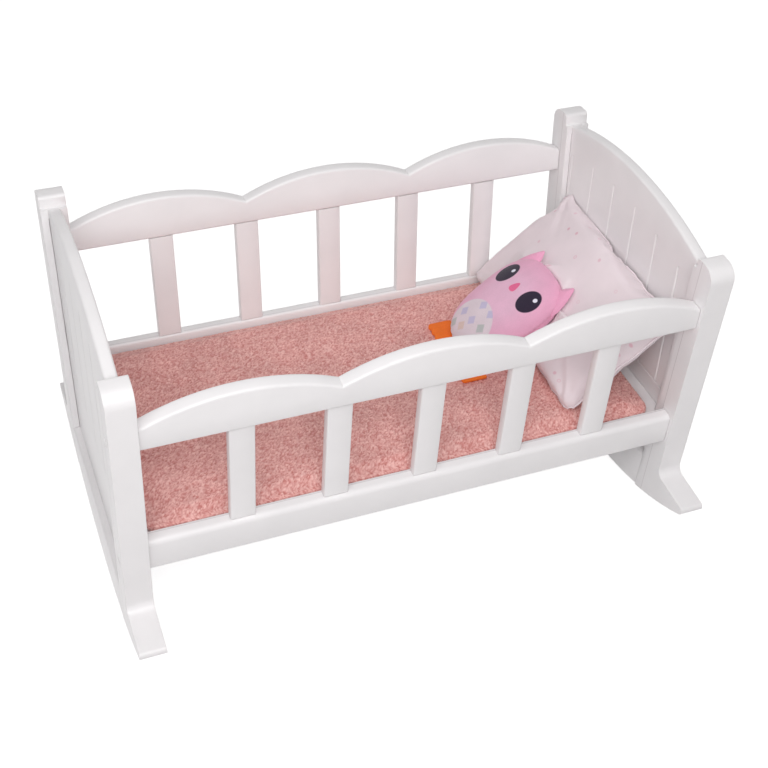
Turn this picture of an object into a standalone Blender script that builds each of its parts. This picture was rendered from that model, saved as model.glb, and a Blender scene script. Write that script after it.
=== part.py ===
"""Doll cradle: two rocking ends, two slatted sides that lean outward, a base board, bedding and a plush owl.

X runs along the cradle, the front side faces -Y and Z is up. The origin is on the floor under the middle.
"""

from math import acos, asin, cos, pi, radians, sin, sqrt, tan

import bmesh
import bpy
from mathutils import Matrix, Vector

# Clearances and overruns
GAP = 0.0003
OVERRUN = 0.002

# The whole cradle
LENGTH = 0.500
LEAN = radians(4.0)
BASE_HALF_WIDTH = 0.12265

# End posts, each with its foot in one board
POST_WIDTH = 0.0217
POST_DEPTH = 0.0275
POST_HEIGHT = 0.2856
POST_TOP_RADIUS = 0.012
POST_SHELF_HEIGHT = 0.2752
POST_TOP_DEPTH = 0.0236
POST_SMALL_RADIUS = 0.0032
POST_EASE = 0.0026

# Rockers and feet
ROCKER_RADIUS = 0.350
ROCKER_REACH = 0.1705
ROCKER_FLAT = 0.030
FOOT_BEND_HEIGHT = 0.0532
FOOT_BEND_RADIUS = 0.008
FOOT_TIP_HEIGHT = 0.0500
FOOT_TIP_RADIUS = 0.0032
ROCKER_RAIL_TOP = 0.053

# End panels and aprons
PANEL_THICKNESS = 0.0102
PANEL_RECESS = 0.0053
PANEL_TONGUE = 0.006
PANEL_TONGUE_TOP = 0.268
PANEL_BOTTOM = 0.130
PANEL_SHOULDER_HEIGHT = 0.2768
PANEL_SHOULDER_FLAT = 0.0011
PANEL_ARCH_RISE = 0.0179
PANEL_EASE = 0.0024
APRON_EASE = 0.0006

# Upright grooves in the panels
GROOVE_COUNT = 6
GROOVE_SPACING = 0.0387
GROOVE_OFFSET = 0.0092
GROOVE_DEPTH = 0.0013
GROOVE_TOP_MARGIN = 0.029

# Side rails
RAIL_SET_BACK = 0.0038
RAIL_THICKNESS = 0.0128
RAIL_EASE = 0.0022
BOTTOM_RAIL_FRONT_RADIUS = 0.0048
TOP_RAIL_UNDERSIDE = 0.2256
SCALLOP_LEVEL = 0.2468
SCALLOP_RISE = 0.0173
SCALLOP_COUNT = 3
BOTTOM_RAIL_UNDERSIDE = 0.0923
BOTTOM_RAIL_TOP = 0.1234

# Slats
SLAT_COUNT = 5
SLAT_WIDTH = 0.0203
SLAT_THICKNESS = 0.0085
SLAT_SET_BACK = 0.0034
SLAT_EASE = 0.0012
TENON_LENGTH = 0.007
TENON_WIDTH = 0.012
TENON_THICKNESS = 0.005

# Connecting screws
SCREW_SHANK_RADIUS = 0.0024
SCREW_HEAD_RADIUS = 0.0038
SCREW_HEAD_HEIGHT = 0.0022
SCREW_SINK = 0.0008
SCREW_REACH = 0.026
SCREW_SOCKET_RADIUS = 0.0021
SCREW_SOCKET_DEPTH = 0.0014
SCREW_RISE = 0.0105

# Base board and its battens
BASE_TOP = 0.112
BASE_THICKNESS = 0.006
BASE_HALF_DEPTH = 0.1131
BATTEN_SIDE = 0.010

# Mattress
MATTRESS_END_ROOM = 0.0083
MATTRESS_SIDE_ROOM = 0.0028
MATTRESS_THICKNESS = 0.0155
MATTRESS_EDGE = 0.009
MATTRESS_CORNER = 0.028

# Pillow
PILLOW_SLOPE = 0.126
PILLOW_WIDTH = 0.212
PILLOW_THICKNESS = 0.046
PILLOW_EDGE = 0.003
PILLOW_DRAW_IN = 0.003
PILLOW_TILT = radians(43.0)
PILLOW_TURN = radians(-3.0)
PILLOW_CORNER_SHARE = 0.07
PILLOW_FROM_WALL = 0.0448
PILLOW_OFF_MIDDLE = 0.003
PILLOW_RISE = 0.0405

# Plush owl
OWL_LENGTH = 0.108
OWL_FOOT_END_WIDTH = 0.080
OWL_HEAD_END_WIDTH = 0.092
OWL_THICKNESS = 0.035
OWL_FULLNESS = 2.8
OWL_TILT = radians(34.0)
OWL_FROM_WALL = 0.1063
OWL_OFF_MIDDLE = 0.0075
OWL_RISE = 0.0380
OWL_EAR_LENGTH = 0.036
OWL_EAR_WIDTH = 0.030
OWL_EAR_THICKNESS = 0.013
OWL_EAR_REACH = 0.061
OWL_EAR_SPREAD = 0.0265
OWL_EAR_POINT_SHARE = 0.72
OWL_EAR_TURN = radians(5.0)
OWL_FOOT_LENGTH = 0.022
OWL_FOOT_WIDTH = 0.024
OWL_FOOT_THICKNESS = 0.004
OWL_FOOT_SPREAD = 0.031
OWL_FOOT_FROM_WALL = 0.1503

# Counts for round stretches
ARC_STEPS = 6
SCALLOP_STEPS = 16
ARCH_STEPS = 22
ROCKER_STEPS = 12
ROUND_SIDES = 20
BODY_SIDES = 28
BODY_RINGS = 18
EAR_SIDES = 16
EAR_RINGS = 10
MATTRESS_CUTS = (11, 7, 1)
PILLOW_CUTS = (7, 9, 1)

WHITE_PAINT = (0.86, 0.84, 0.86, 1.0)
BRIGHT_STEEL = (0.62, 0.62, 0.63, 1.0)
SALMON_FLEECE = (0.62, 0.27, 0.24, 1.0)
PALE_PINK = (0.80, 0.62, 0.66, 1.0)
OWL_PINK = (0.82, 0.34, 0.56, 1.0)
ORANGE_FELT = (0.86, 0.22, 0.04, 1.0)

# Values that follow from the sizes above
HALF_LENGTH = LENGTH / 2
POST_FACE_X = HALF_LENGTH - POST_WIDTH
WALL_X = POST_FACE_X + PANEL_RECESS
PANEL_MIDDLE_X = WALL_X + PANEL_THICKNESS / 2
RAIL_INNER_DEPTH = RAIL_SET_BACK + RAIL_THICKNESS
SLAT_MIDDLE_DEPTH = RAIL_SET_BACK + SLAT_SET_BACK + SLAT_THICKNESS / 2
BED_TOP = BASE_TOP + MATTRESS_THICKNESS


def fresh_collection(name):
    """Adds a collection under the scene and returns it."""
    made = bpy.data.collections.new(name)
    bpy.context.scene.collection.children.link(made)
    return made


def paint(name, colour, roughness, metallic=0.0):
    """A plain Principled material."""
    made = bpy.data.materials.new(name)
    made.use_nodes = True
    shader = made.node_tree.nodes["Principled BSDF"]
    shader.inputs["Base Color"].default_value = colour
    shader.inputs["Roughness"].default_value = roughness
    shader.inputs["Metallic"].default_value = metallic
    made.diffuse_color = colour
    return made


def add_object(name, mesh, material, location=(0, 0, 0), rotation=(0, 0, 0), parent=None):
    """Links a mesh as a named piece of the cradle."""
    made = bpy.data.objects.new(name, mesh)
    made.location = location
    made.rotation_euler = rotation
    made.parent = parent
    PIECES.objects.link(made)
    if material is not None and not mesh.materials:
        mesh.materials.append(material)
    return made


def as_cutter(piece):
    """Moves a piece among the cutters, out of the build."""
    PIECES.objects.unlink(piece)
    CUTTERS.objects.link(piece)
    piece.hide_render = True
    piece.display_type = "WIRE"
    return piece


def rounded(corners):
    """Turns (a, b, radius) corners into outline points, with an arc at each corner that has a radius."""
    points = []
    for place, (a, b, radius) in enumerate(corners):
        here = Vector((a, b))
        if radius == 0:
            points.append(here)
            continue
        before = Vector(corners[place - 1][:2])
        after = Vector(corners[(place + 1) % len(corners)][:2])
        to_before = (before - here).normalized()
        to_after = (after - here).normalized()
        half_angle = acos(to_before.dot(to_after)) / 2
        centre = here + (to_before + to_after).normalized() * radius / sin(half_angle)
        start = here + to_before * radius / tan(half_angle) - centre
        end = here + to_after * radius / tan(half_angle) - centre
        turn = start.angle_signed(end)
        for step in range(ARC_STEPS + 1):
            swing = -turn * step / ARC_STEPS
            points.append(centre + Vector((start.x * cos(swing) - start.y * sin(swing),
                                           start.x * sin(swing) + start.y * cos(swing))))
    return points


def bulge(start, end, rise, steps):
    """Points of the arc from start to end that rises above its chord, both ends left out."""
    start = Vector(start)
    end = Vector(end)
    chord = end - start
    half = chord.length / 2
    radius = (half * half + rise * rise) / (2 * rise)
    side = Vector((-chord.y, chord.x)).normalized()
    middle = (start + end) / 2
    centre = middle - side * (radius - rise)
    half_angle = asin(half / radius)
    points = []
    for step in range(1, steps):
        angle = half_angle * (2 * step / steps - 1)
        points.append(centre + side * radius * cos(angle) + chord.normalized() * radius * sin(angle))
    return points


def board(name, outline, thickness):
    """The mesh of a flat board, from its outline in local X and Y, centred on its thickness."""
    curve = bpy.data.curves.new(name, "CURVE")
    curve.dimensions = "2D"
    curve.fill_mode = "BOTH"
    curve.extrude = thickness / 2
    line = curve.splines.new("POLY")
    line.points.add(len(outline) - 1)
    for point, place in zip(line.points, outline):
        point.co = (place[0], place[1], 0, 1)
    line.use_cyclic_u = True
    holder = bpy.data.objects.new(name, curve)
    CUTTERS.objects.link(holder)
    mesh = evaluated_mesh(holder)
    bpy.data.objects.remove(holder)
    shape = bmesh.new()
    shape.from_mesh(mesh)
    bmesh.ops.remove_doubles(shape, verts=shape.verts, dist=GAP / 10)
    flat = [edge for edge in shape.edges if edge.calc_face_angle(0) < radians(0.01)]
    bmesh.ops.dissolve_edges(shape, edges=flat, use_verts=False)
    bmesh.ops.recalc_face_normals(shape, faces=shape.faces)
    shape.to_mesh(mesh)
    shape.free()
    mesh.name = name
    return mesh


def evaluated_mesh(holder):
    """A new mesh with the object's modifiers applied."""
    bpy.context.view_layer.update()
    graph = bpy.context.evaluated_depsgraph_get()
    return bpy.data.meshes.new_from_object(holder.evaluated_get(graph))


def block(name, size, middle=(0, 0, 0)):
    """The mesh of a box with the given size and middle."""
    shape = bmesh.new()
    bmesh.ops.create_cube(shape, size=1)
    bmesh.ops.scale(shape, vec=size, verts=shape.verts)
    bmesh.ops.translate(shape, vec=middle, verts=shape.verts)
    mesh = bpy.data.meshes.new(name)
    shape.to_mesh(mesh)
    shape.free()
    return mesh


def blocks(name, boxes):
    """The mesh of several separate boxes, each a (size, middle) pair."""
    shape = bmesh.new()
    for size, middle in boxes:
        added = bmesh.ops.create_cube(shape, size=1)["verts"]
        bmesh.ops.scale(shape, vec=size, verts=added)
        bmesh.ops.translate(shape, vec=middle, verts=added)
    mesh = bpy.data.meshes.new(name)
    shape.to_mesh(mesh)
    shape.free()
    return mesh


def on_rim(first, second):
    """True for an edge that runs round one face of a board."""
    return abs(first.z - second.z) < GAP


def ease(mesh, width, wanted=on_rim, segments=3):
    """Rounds the sharp edges of a mesh whose two ends pass the test."""
    shape = bmesh.new()
    shape.from_mesh(mesh)
    sharp = [edge for edge in shape.edges if edge.calc_face_angle(0) > radians(50)
             and wanted(edge.verts[0].co, edge.verts[1].co)]
    bmesh.ops.bevel(shape, geom=sharp, offset=width, offset_type="OFFSET", segments=segments,
                    profile=0.5, affect="EDGES", clamp_overlap=True)
    shape.to_mesh(mesh)
    shape.free()


def cut(piece, cutter, operation="DIFFERENCE"):
    """Adds a Boolean modifier."""
    change = piece.modifiers.new(cutter.name, "BOOLEAN")
    change.operation = operation
    change.solver = "EXACT"
    change.object = cutter


def shade(piece):
    """Smooth shading with sharp edges kept."""
    piece.data.shade_smooth()
    piece.data.set_sharp_from_angle(angle=radians(35))


def leaning_half_width(height, depth):
    """How far out a side reaches at a world height, for a depth in from the posts' outer face."""
    return BASE_HALF_WIDTH + height * tan(LEAN) - depth / cos(LEAN)


def in_side(depth, height):
    """World Y and Z of a point given by its depth and height in the front side's frame."""
    return (-BASE_HALF_WIDTH - height * sin(LEAN) + depth * cos(LEAN), height * cos(LEAN) + depth * sin(LEAN))


def rocker_height(reach):
    """Height of the rocker's lower edge at a distance from the middle."""
    flat_drop = ROCKER_RADIUS - sqrt(ROCKER_RADIUS ** 2 - (ROCKER_FLAT / 2) ** 2)
    return ROCKER_RADIUS - sqrt(ROCKER_RADIUS ** 2 - reach ** 2) - flat_drop


def rocker_edge(start, end, steps):
    """Points along the rocker's lower edge between two distances from the middle."""
    reaches = [start + (end - start) * step / steps for step in range(steps + 1)]
    return [Vector((reach, rocker_height(reach))) for reach in reaches]


def side_frame(name, facing):
    """The empty that carries one side: local X along it, Y inward and Z up the lean."""
    frame = bpy.data.objects.new(name, None)
    frame.location = (0, facing * BASE_HALF_WIDTH, 0)
    frame.rotation_euler = (LEAN, 0, pi if facing > 0 else 0)
    PIECES.objects.link(frame)
    return frame


def screw_spots():
    """Depth and height, in a side's frame, of the screws into its top and bottom rails."""
    depth = RAIL_SET_BACK + RAIL_THICKNESS / 2
    return ((depth, TOP_RAIL_UNDERSIDE + SCREW_RISE), (depth, BOTTOM_RAIL_UNDERSIDE + SCREW_RISE))


def post_outline():
    """Post and foot seen along the cradle, as Y and Z of the front side."""
    inner_bottom = -leaning_half_width(0, POST_DEPTH)
    joint = -leaning_half_width(rocker_height(inner_bottom), POST_DEPTH)
    tip_bottom = rocker_height(ROCKER_REACH)
    corners = [
        (*in_side(POST_DEPTH, POST_SHELF_HEIGHT), 0),
        (*in_side(POST_TOP_DEPTH, POST_SHELF_HEIGHT), 0),
        (*in_side(POST_TOP_DEPTH, POST_HEIGHT), POST_SMALL_RADIUS),
        (*in_side(0, POST_HEIGHT), POST_TOP_RADIUS),
        (*in_side(0, FOOT_BEND_HEIGHT), FOOT_BEND_RADIUS),
        (-ROCKER_REACH, FOOT_TIP_HEIGHT, FOOT_TIP_RADIUS),
        (-ROCKER_REACH, tip_bottom, FOOT_TIP_RADIUS),
        (joint, rocker_height(joint), 0),
        (-leaning_half_width(ROCKER_RAIL_TOP, POST_DEPTH), ROCKER_RAIL_TOP, 0),
    ]
    points = rounded(corners)
    shoulder = points.pop()
    points.pop()
    under = rocker_edge(points[-1].x, joint, ROCKER_STEPS)
    return points[:-1] + under + [shoulder]


def make_posts(sides):
    """The four posts, grooved for the panel and bored for the screws."""
    outline = post_outline()
    groove_bottom = ROCKER_RAIL_TOP - OVERRUN
    groove_floor = POST_DEPTH - PANEL_TONGUE - GAP
    groove_top = (PANEL_TONGUE_TOP + GAP - groove_floor * sin(LEAN)) / cos(LEAN)
    seam = -leaning_half_width(ROCKER_RAIL_TOP, POST_DEPTH) - GAP
    groove_size = (PANEL_THICKNESS + 2 * GAP, POST_DEPTH + OVERRUN - groove_floor, groove_top - groove_bottom)
    for side_name, frame in sides.items():
        for hand, way in (("left", -1), ("right", 1)):
            facing = 1 if side_name == "back" else -1
            mesh = board("post", outline, POST_WIDTH)
            ease(mesh, POST_EASE, lambda one, two: on_rim(one, two) and not (
                min(one.x, two.x) > seam and max(one.y, two.y) < ROCKER_RAIL_TOP + GAP))
            middle = way * (HALF_LENGTH - POST_WIDTH / 2)
            post = add_object(f"post_{side_name}_{hand}", mesh, PAINT, (middle, 0, 0),
                              (pi / 2, 0, -facing * pi / 2))
            local_way = -way * facing
            groove_middle = (local_way * PANEL_MIDDLE_X, groove_floor + groove_size[1] / 2,
                             (groove_bottom + groove_top) / 2)
            groove_mesh = block("groove", groove_size, groove_middle)
            groove = add_object(f"groove_{side_name}_{hand}", groove_mesh, None, parent=frame)
            cut(post, as_cutter(groove))
            for row, (depth, height) in enumerate(screw_spots()):
                bore = add_object(f"bore_{side_name}_{hand}_{row}", stepped_bore(), None,
                                  (local_way * (HALF_LENGTH + OVERRUN), depth, height),
                                  (0, 0, pi if local_way > 0 else 0), frame)
                cut(post, as_cutter(bore))
            shade(post)


def stepped_bore():
    """A stepped bore through a post into a rail, along local X from outside the post."""
    shape = bmesh.new()
    head = SCREW_HEAD_RADIUS + GAP
    shank = SCREW_SHANK_RADIUS + GAP
    sink = OVERRUN + SCREW_SINK + SCREW_HEAD_HEIGHT
    reach = OVERRUN + POST_WIDTH + SCREW_REACH + GAP
    turned(shape, [(0, 0), (head, 0), (head, sink), (shank, sink), (shank, reach), (0, reach)])
    mesh = bpy.data.meshes.new("bore")
    shape.to_mesh(mesh)
    shape.free()
    return mesh


def turned(shape, profile):
    """Spins a profile of (radius, place along X) pairs about local X into a closed solid."""
    verts = [shape.verts.new((along, radius, 0)) for radius, along in profile]
    edges = [shape.edges.new(pair) for pair in zip(verts, verts[1:])]
    bmesh.ops.spin(shape, geom=verts + edges, cent=(0, 0, 0), axis=(1, 0, 0), angle=2 * pi,
                   steps=ROUND_SIDES, use_merge=True, use_duplicate=False)
    bmesh.ops.remove_doubles(shape, verts=shape.verts, dist=GAP / 10)
    bmesh.ops.recalc_face_normals(shape, faces=shape.faces)


def make_screws(sides):
    """One screw through each post into each rail's end."""
    shape = bmesh.new()
    head_start = SCREW_SINK
    head_end = SCREW_SINK + SCREW_HEAD_HEIGHT
    tip = POST_WIDTH + SCREW_REACH
    turned(shape, [(0, head_start), (SCREW_HEAD_RADIUS, head_start), (SCREW_HEAD_RADIUS, head_end - GAP),
                   (SCREW_SHANK_RADIUS, head_end - GAP), (SCREW_SHANK_RADIUS, tip - SCREW_SHANK_RADIUS),
                   (0, tip)])
    whole = bpy.data.meshes.new("screw")
    shape.to_mesh(whole)
    shape.free()
    holder = add_object("screw_blank", whole, STEEL)
    socket_shape = bmesh.new()
    bmesh.ops.create_cone(socket_shape, cap_ends=True, segments=6, radius1=SCREW_SOCKET_RADIUS,
                          radius2=SCREW_SOCKET_RADIUS, depth=2 * SCREW_SOCKET_DEPTH)
    socket_mesh = bpy.data.meshes.new("socket")
    socket_shape.to_mesh(socket_mesh)
    socket_shape.free()
    socket = as_cutter(add_object("socket", socket_mesh, None, (head_start, 0, 0), (0, pi / 2, 0)))
    cut(holder, socket)
    finished = evaluated_mesh(holder)
    finished.name = "screw"
    bpy.data.objects.remove(holder)
    for side_name, frame in sides.items():
        for hand, local_way in (("left", -1), ("right", 1)):
            if side_name == "back":
                local_way = -local_way
            for row_name, (depth, height) in zip(("top", "bottom"), screw_spots()):
                screw = add_object(f"screw_{side_name}_{hand}_{row_name}", finished, STEEL,
                                   (local_way * HALF_LENGTH, depth, height),
                                   (0, 0, pi if local_way > 0 else 0), frame)
                shade(screw)


def make_rocker_rails():
    """The arc-bottomed boards between the feet."""
    inner = leaning_half_width(0, POST_DEPTH) - GAP
    joint = leaning_half_width(rocker_height(inner), POST_DEPTH) - GAP
    top_half = leaning_half_width(ROCKER_RAIL_TOP, POST_DEPTH) - GAP
    right = rocker_edge(ROCKER_FLAT / 2, joint, ROCKER_STEPS)
    left = [Vector((-point.x, point.y)) for point in reversed(right)]
    outline = left + right + [Vector((top_half, ROCKER_RAIL_TOP)), Vector((-top_half, ROCKER_RAIL_TOP))]
    for hand, way in (("left", -1), ("right", 1)):
        mesh = board("rocker_rail", outline, POST_WIDTH)
        ease(mesh, POST_EASE, lambda one, two: on_rim(one, two) and not (
            min(abs(one.x), abs(two.x)) > joint - GAP and one.x * two.x > 0))
        rail = add_object(f"rocker_rail_{hand}", mesh, PAINT, (way * (HALF_LENGTH - POST_WIDTH / 2), 0, 0),
                          (pi / 2, 0, pi / 2))
        shade(rail)


def make_aprons():
    """The plain boards between the rocker rails and the arched panels."""
    bottom = ROCKER_RAIL_TOP + GAP
    top = PANEL_BOTTOM
    depth = POST_DEPTH - PANEL_TONGUE
    outline = [(-leaning_half_width(bottom, depth), bottom), (leaning_half_width(bottom, depth), bottom),
               (leaning_half_width(top, depth), top), (-leaning_half_width(top, depth), top)]
    for hand, way in (("left", -1), ("right", 1)):
        mesh = board("apron", outline, PANEL_THICKNESS)
        ease(mesh, APRON_EASE, lambda one, two: on_rim(one, two) and min(one.y, two.y) > top - GAP, 1)
        apron = add_object(f"apron_{hand}", mesh, PAINT, (way * PANEL_MIDDLE_X, 0, 0), (pi / 2, 0, pi / 2))
        shade(apron)


def arch_half_span():
    """Half the width of the panel's arch, which ends a short flat away from each post."""
    return leaning_half_width(PANEL_SHOULDER_HEIGHT, POST_DEPTH) - PANEL_SHOULDER_FLAT


def arch_height(reach):
    """Height of the panel's arched top at a distance from the middle."""
    radius = (arch_half_span() ** 2 + PANEL_ARCH_RISE ** 2) / (2 * PANEL_ARCH_RISE)
    return PANEL_SHOULDER_HEIGHT + PANEL_ARCH_RISE - radius + sqrt(radius ** 2 - reach ** 2)


def make_panels():
    """The arched panels, with six upright grooves on both faces."""
    bottom = PANEL_BOTTOM + GAP
    depth = POST_DEPTH - PANEL_TONGUE
    shoulder = PANEL_SHOULDER_HEIGHT
    half = [(leaning_half_width(bottom, depth), bottom),
            (leaning_half_width(PANEL_TONGUE_TOP, depth), PANEL_TONGUE_TOP),
            (leaning_half_width(PANEL_TONGUE_TOP, POST_DEPTH) - GAP, PANEL_TONGUE_TOP),
            (leaning_half_width(shoulder, POST_DEPTH) - GAP, shoulder), (arch_half_span(), shoulder)]
    outline = half + bulge(half[-1], (-arch_half_span(), shoulder), -PANEL_ARCH_RISE, ARCH_STEPS)
    outline += [(-y, z) for y, z in reversed(half)]
    side = GROOVE_DEPTH * sqrt(2)
    for hand, way in (("left", -1), ("right", 1)):
        mesh = board("panel", outline, PANEL_THICKNESS)
        ease(mesh, PANEL_EASE, lambda one, two: on_rim(one, two) and min(one.y, two.y) > shoulder - GAP)
        ease(mesh, APRON_EASE, lambda one, two: on_rim(one, two) and max(one.y, two.y) < bottom + GAP, 1)
        panel = add_object(f"panel_{hand}", mesh, PAINT, (way * PANEL_MIDDLE_X, 0, 0), (pi / 2, 0, pi / 2))
        for face, face_way in (("inner", -way), ("outer", way)):
            shape = bmesh.new()
            for row in range(GROOVE_COUNT):
                reach = GROOVE_OFFSET + (row - (GROOVE_COUNT - 1) / 2) * GROOVE_SPACING
                top = arch_height(reach) - GROOVE_TOP_MARGIN
                low = bottom - OVERRUN
                added = bmesh.ops.create_cube(shape, size=1)["verts"]
                bmesh.ops.scale(shape, vec=(side, side, top - low), verts=added)
                bmesh.ops.rotate(shape, verts=added, cent=(0, 0, 0), matrix=Matrix.Rotation(pi / 4, 3, "Z"))
                bmesh.ops.translate(shape, vec=(0, reach, (top + low) / 2), verts=added)
            grooves = bpy.data.meshes.new("grooves")
            shape.to_mesh(grooves)
            shape.free()
            face_x = way * PANEL_MIDDLE_X + face_way * PANEL_THICKNESS / 2
            cut(panel, as_cutter(add_object(f"grooves_{hand}_{face}", grooves, None, (face_x, 0, 0))))
        shade(panel)


def slat_places():
    """X of each slat's middle line, the slats dividing the side into equal steps."""
    spacing = 2 * POST_FACE_X / (SLAT_COUNT + 1)
    return [(place - (SLAT_COUNT - 1) / 2) * spacing for place in range(SLAT_COUNT)]


def mortise_cutter(name, low, high, frame):
    """Boxes for the slats' tenons, between two heights of a side's frame."""
    size = (TENON_WIDTH + 2 * GAP, TENON_THICKNESS + 2 * GAP, high - low)
    boxes = [(size, (place, SLAT_MIDDLE_DEPTH, (low + high) / 2)) for place in slat_places()]
    return as_cutter(add_object(name, blocks(name, boxes), None, parent=frame))


def make_rails(sides):
    """Scalloped top rails and plain bottom rails."""
    half = POST_FACE_X - GAP
    span = 2 * POST_FACE_X / SCALLOP_COUNT
    outline = [(-half, TOP_RAIL_UNDERSIDE), (half, TOP_RAIL_UNDERSIDE), (half, SCALLOP_LEVEL)]
    for place in reversed(range(SCALLOP_COUNT)):
        left = -POST_FACE_X + place * span
        outline += bulge((min(left + span, half), SCALLOP_LEVEL), (max(left, -half), SCALLOP_LEVEL),
                         -SCALLOP_RISE, SCALLOP_STEPS)
        outline.append((max(left, -half), SCALLOP_LEVEL))
    height = BOTTOM_RAIL_TOP - BOTTOM_RAIL_UNDERSIDE
    for side_name, frame in sides.items():
        mesh = board("top_rail", outline, RAIL_THICKNESS)
        ease(mesh, RAIL_EASE, lambda one, two: on_rim(one, two) and not (
            min(abs(one.x), abs(two.x)) > half - GAP and one.x * two.x > 0))
        top = add_object(f"top_rail_{side_name}", mesh, PAINT, (0, RAIL_SET_BACK + RAIL_THICKNESS / 2, 0),
                         (pi / 2, 0, 0), frame)
        cut(top, mortise_cutter(f"mortises_top_{side_name}", TOP_RAIL_UNDERSIDE - OVERRUN,
                                TOP_RAIL_UNDERSIDE + TENON_LENGTH + GAP, frame))
        mesh = block("bottom_rail", (2 * half, RAIL_THICKNESS, height))
        ease(mesh, BOTTOM_RAIL_FRONT_RADIUS, lambda one, two: one.x * two.x < 0 and one.y < 0 < one.z, 5)
        ease(mesh, RAIL_EASE, lambda one, two: one.x * two.x < 0 and not one.y < 0 < one.z)
        low = add_object(f"bottom_rail_{side_name}", mesh, PAINT,
                         (0, RAIL_SET_BACK + RAIL_THICKNESS / 2, BOTTOM_RAIL_UNDERSIDE + height / 2),
                         (0, 0, 0), frame)
        cut(low, mortise_cutter(f"mortises_bottom_{side_name}", BOTTOM_RAIL_TOP - TENON_LENGTH - GAP,
                                BOTTOM_RAIL_TOP + OVERRUN, frame))
        for rail, (depth, rise) in zip((top, low), screw_spots()):
            for local_way in (-1, 1):
                bore = add_object(f"{rail.name}_bore_{local_way + 1}", stepped_bore(), None,
                                  (local_way * (HALF_LENGTH + OVERRUN), depth, rise),
                                  (0, 0, pi if local_way > 0 else 0), frame)
                cut(rail, as_cutter(bore))
            shade(rail)


def make_slats(sides):
    """Ten slats, each with a tenon at both ends."""
    low = BOTTOM_RAIL_TOP + GAP
    high = TOP_RAIL_UNDERSIDE - GAP
    mesh = block("slat", (SLAT_WIDTH, SLAT_THICKNESS, high - low), (0, 0, (high + low) / 2))
    ease(mesh, SLAT_EASE, lambda one, two: abs(one.z - two.z) > GAP, 2)
    blank = add_object("slat_blank", mesh, PAINT)
    tenon_size = (TENON_WIDTH, TENON_THICKNESS, high - low + 2 * TENON_LENGTH)
    tenon = add_object("tenon", block("tenon", tenon_size, (0, 0, (high + low) / 2)), None)
    cut(blank, as_cutter(tenon), "UNION")
    finished = evaluated_mesh(blank)
    finished.name = "slat"
    bpy.data.objects.remove(blank)
    for side_name, frame in sides.items():
        for place, x in enumerate(slat_places(), 1):
            slat = add_object(f"slat_{side_name}_{place}", finished, PAINT, (x, SLAT_MIDDLE_DEPTH, 0),
                              parent=frame)
            shade(slat)


def make_base():
    """The base board, notched round the posts, and the battens that carry it."""
    bottom = BASE_TOP - BASE_THICKNESS
    long_half = WALL_X - GAP
    short_half = POST_FACE_X - GAP
    tab = leaning_half_width(bottom, POST_DEPTH) - GAP
    quarter = [(long_half, tab), (short_half, tab), (short_half, BASE_HALF_DEPTH)]
    outline = [(x, y) for x, y in quarter]
    outline += [(-x, y) for x, y in reversed(quarter)]
    outline += [(-x, -y) for x, y in quarter]
    outline += [(x, -y) for x, y in reversed(quarter)]
    mesh = board("base_board", outline, BASE_THICKNESS)
    add_object("base_board", mesh, PAINT, (0, 0, bottom + BASE_THICKNESS / 2))
    top = bottom - GAP
    low = top - BATTEN_SIDE
    depth = RAIL_INNER_DEPTH + GAP
    inner = leaning_half_width(low, depth) - BATTEN_SIDE
    section = [(-leaning_half_width(low, depth), low), (-inner, low), (-inner, top),
               (-leaning_half_width(top, depth), top)]
    for side_name, turn in (("front", pi / 2), ("back", -pi / 2)):
        mesh = board("batten", section, 2 * short_half)
        add_object(f"batten_{side_name}", mesh, PAINT, (0, 0, 0), (pi / 2, 0, turn))


def cage(cuts):
    """A unit cube cut into a grid, with a number of cuts along X, Y and Z."""
    shape = bmesh.new()
    bmesh.ops.create_cube(shape, size=2)
    for axis, count in enumerate(cuts):
        along = [edge for edge in shape.edges
                 if abs(edge.verts[0].co[axis] - edge.verts[1].co[axis]) > 1]
        bmesh.ops.subdivide_edges(shape, edges=along, cuts=count, use_grid_fill=True)
    return shape


def dome(share, power):
    """1 in the middle, falling to 0 at either edge."""
    return max(0, 1 - abs(share) ** power)


def make_mattress():
    """A thin fleece pad with rounded corners, a low crown and soft edges."""
    shape = cage(MATTRESS_CUTS)
    half_length = POST_FACE_X - MATTRESS_END_ROOM
    half_width = leaning_half_width(BASE_TOP, RAIL_INNER_DEPTH) - MATTRESS_SIDE_ROOM
    corner = MATTRESS_CORNER
    for vert in shape.verts:
        a = sin(vert.co.x * pi / 2)
        b = sin(vert.co.y * pi / 2)
        x = a * half_length
        y = b * half_width
        over_x = max(0, abs(x) - half_length + corner) / corner
        over_y = max(0, abs(y) - half_width + corner) / corner
        if over_x > 0 and over_y > 0:
            x = (half_length - corner + corner * over_x * sqrt(1 - over_y ** 2 / 2)) * (1 if x > 0 else -1)
            y = (half_width - corner + corner * over_y * sqrt(1 - over_x ** 2 / 2)) * (1 if y > 0 else -1)
        full = MATTRESS_EDGE + (MATTRESS_THICKNESS - MATTRESS_EDGE) * sqrt(dome(a, 6) * dome(b, 6))
        vert.co = Vector((x, y, full * (vert.co.z + 1) / 2))
    mesh = bpy.data.meshes.new("mattress")
    shape.to_mesh(mesh)
    shape.free()
    pad = add_object("mattress", mesh, FLEECE, (0, 0, BASE_TOP + GAP))
    soften(pad)
    return pad


def soften(piece):
    """One level of Subdivision Surface."""
    change = piece.modifiers.new("soften", "SUBSURF")
    change.levels = 1
    change.render_levels = 1
    piece.data.shade_smooth()


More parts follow.
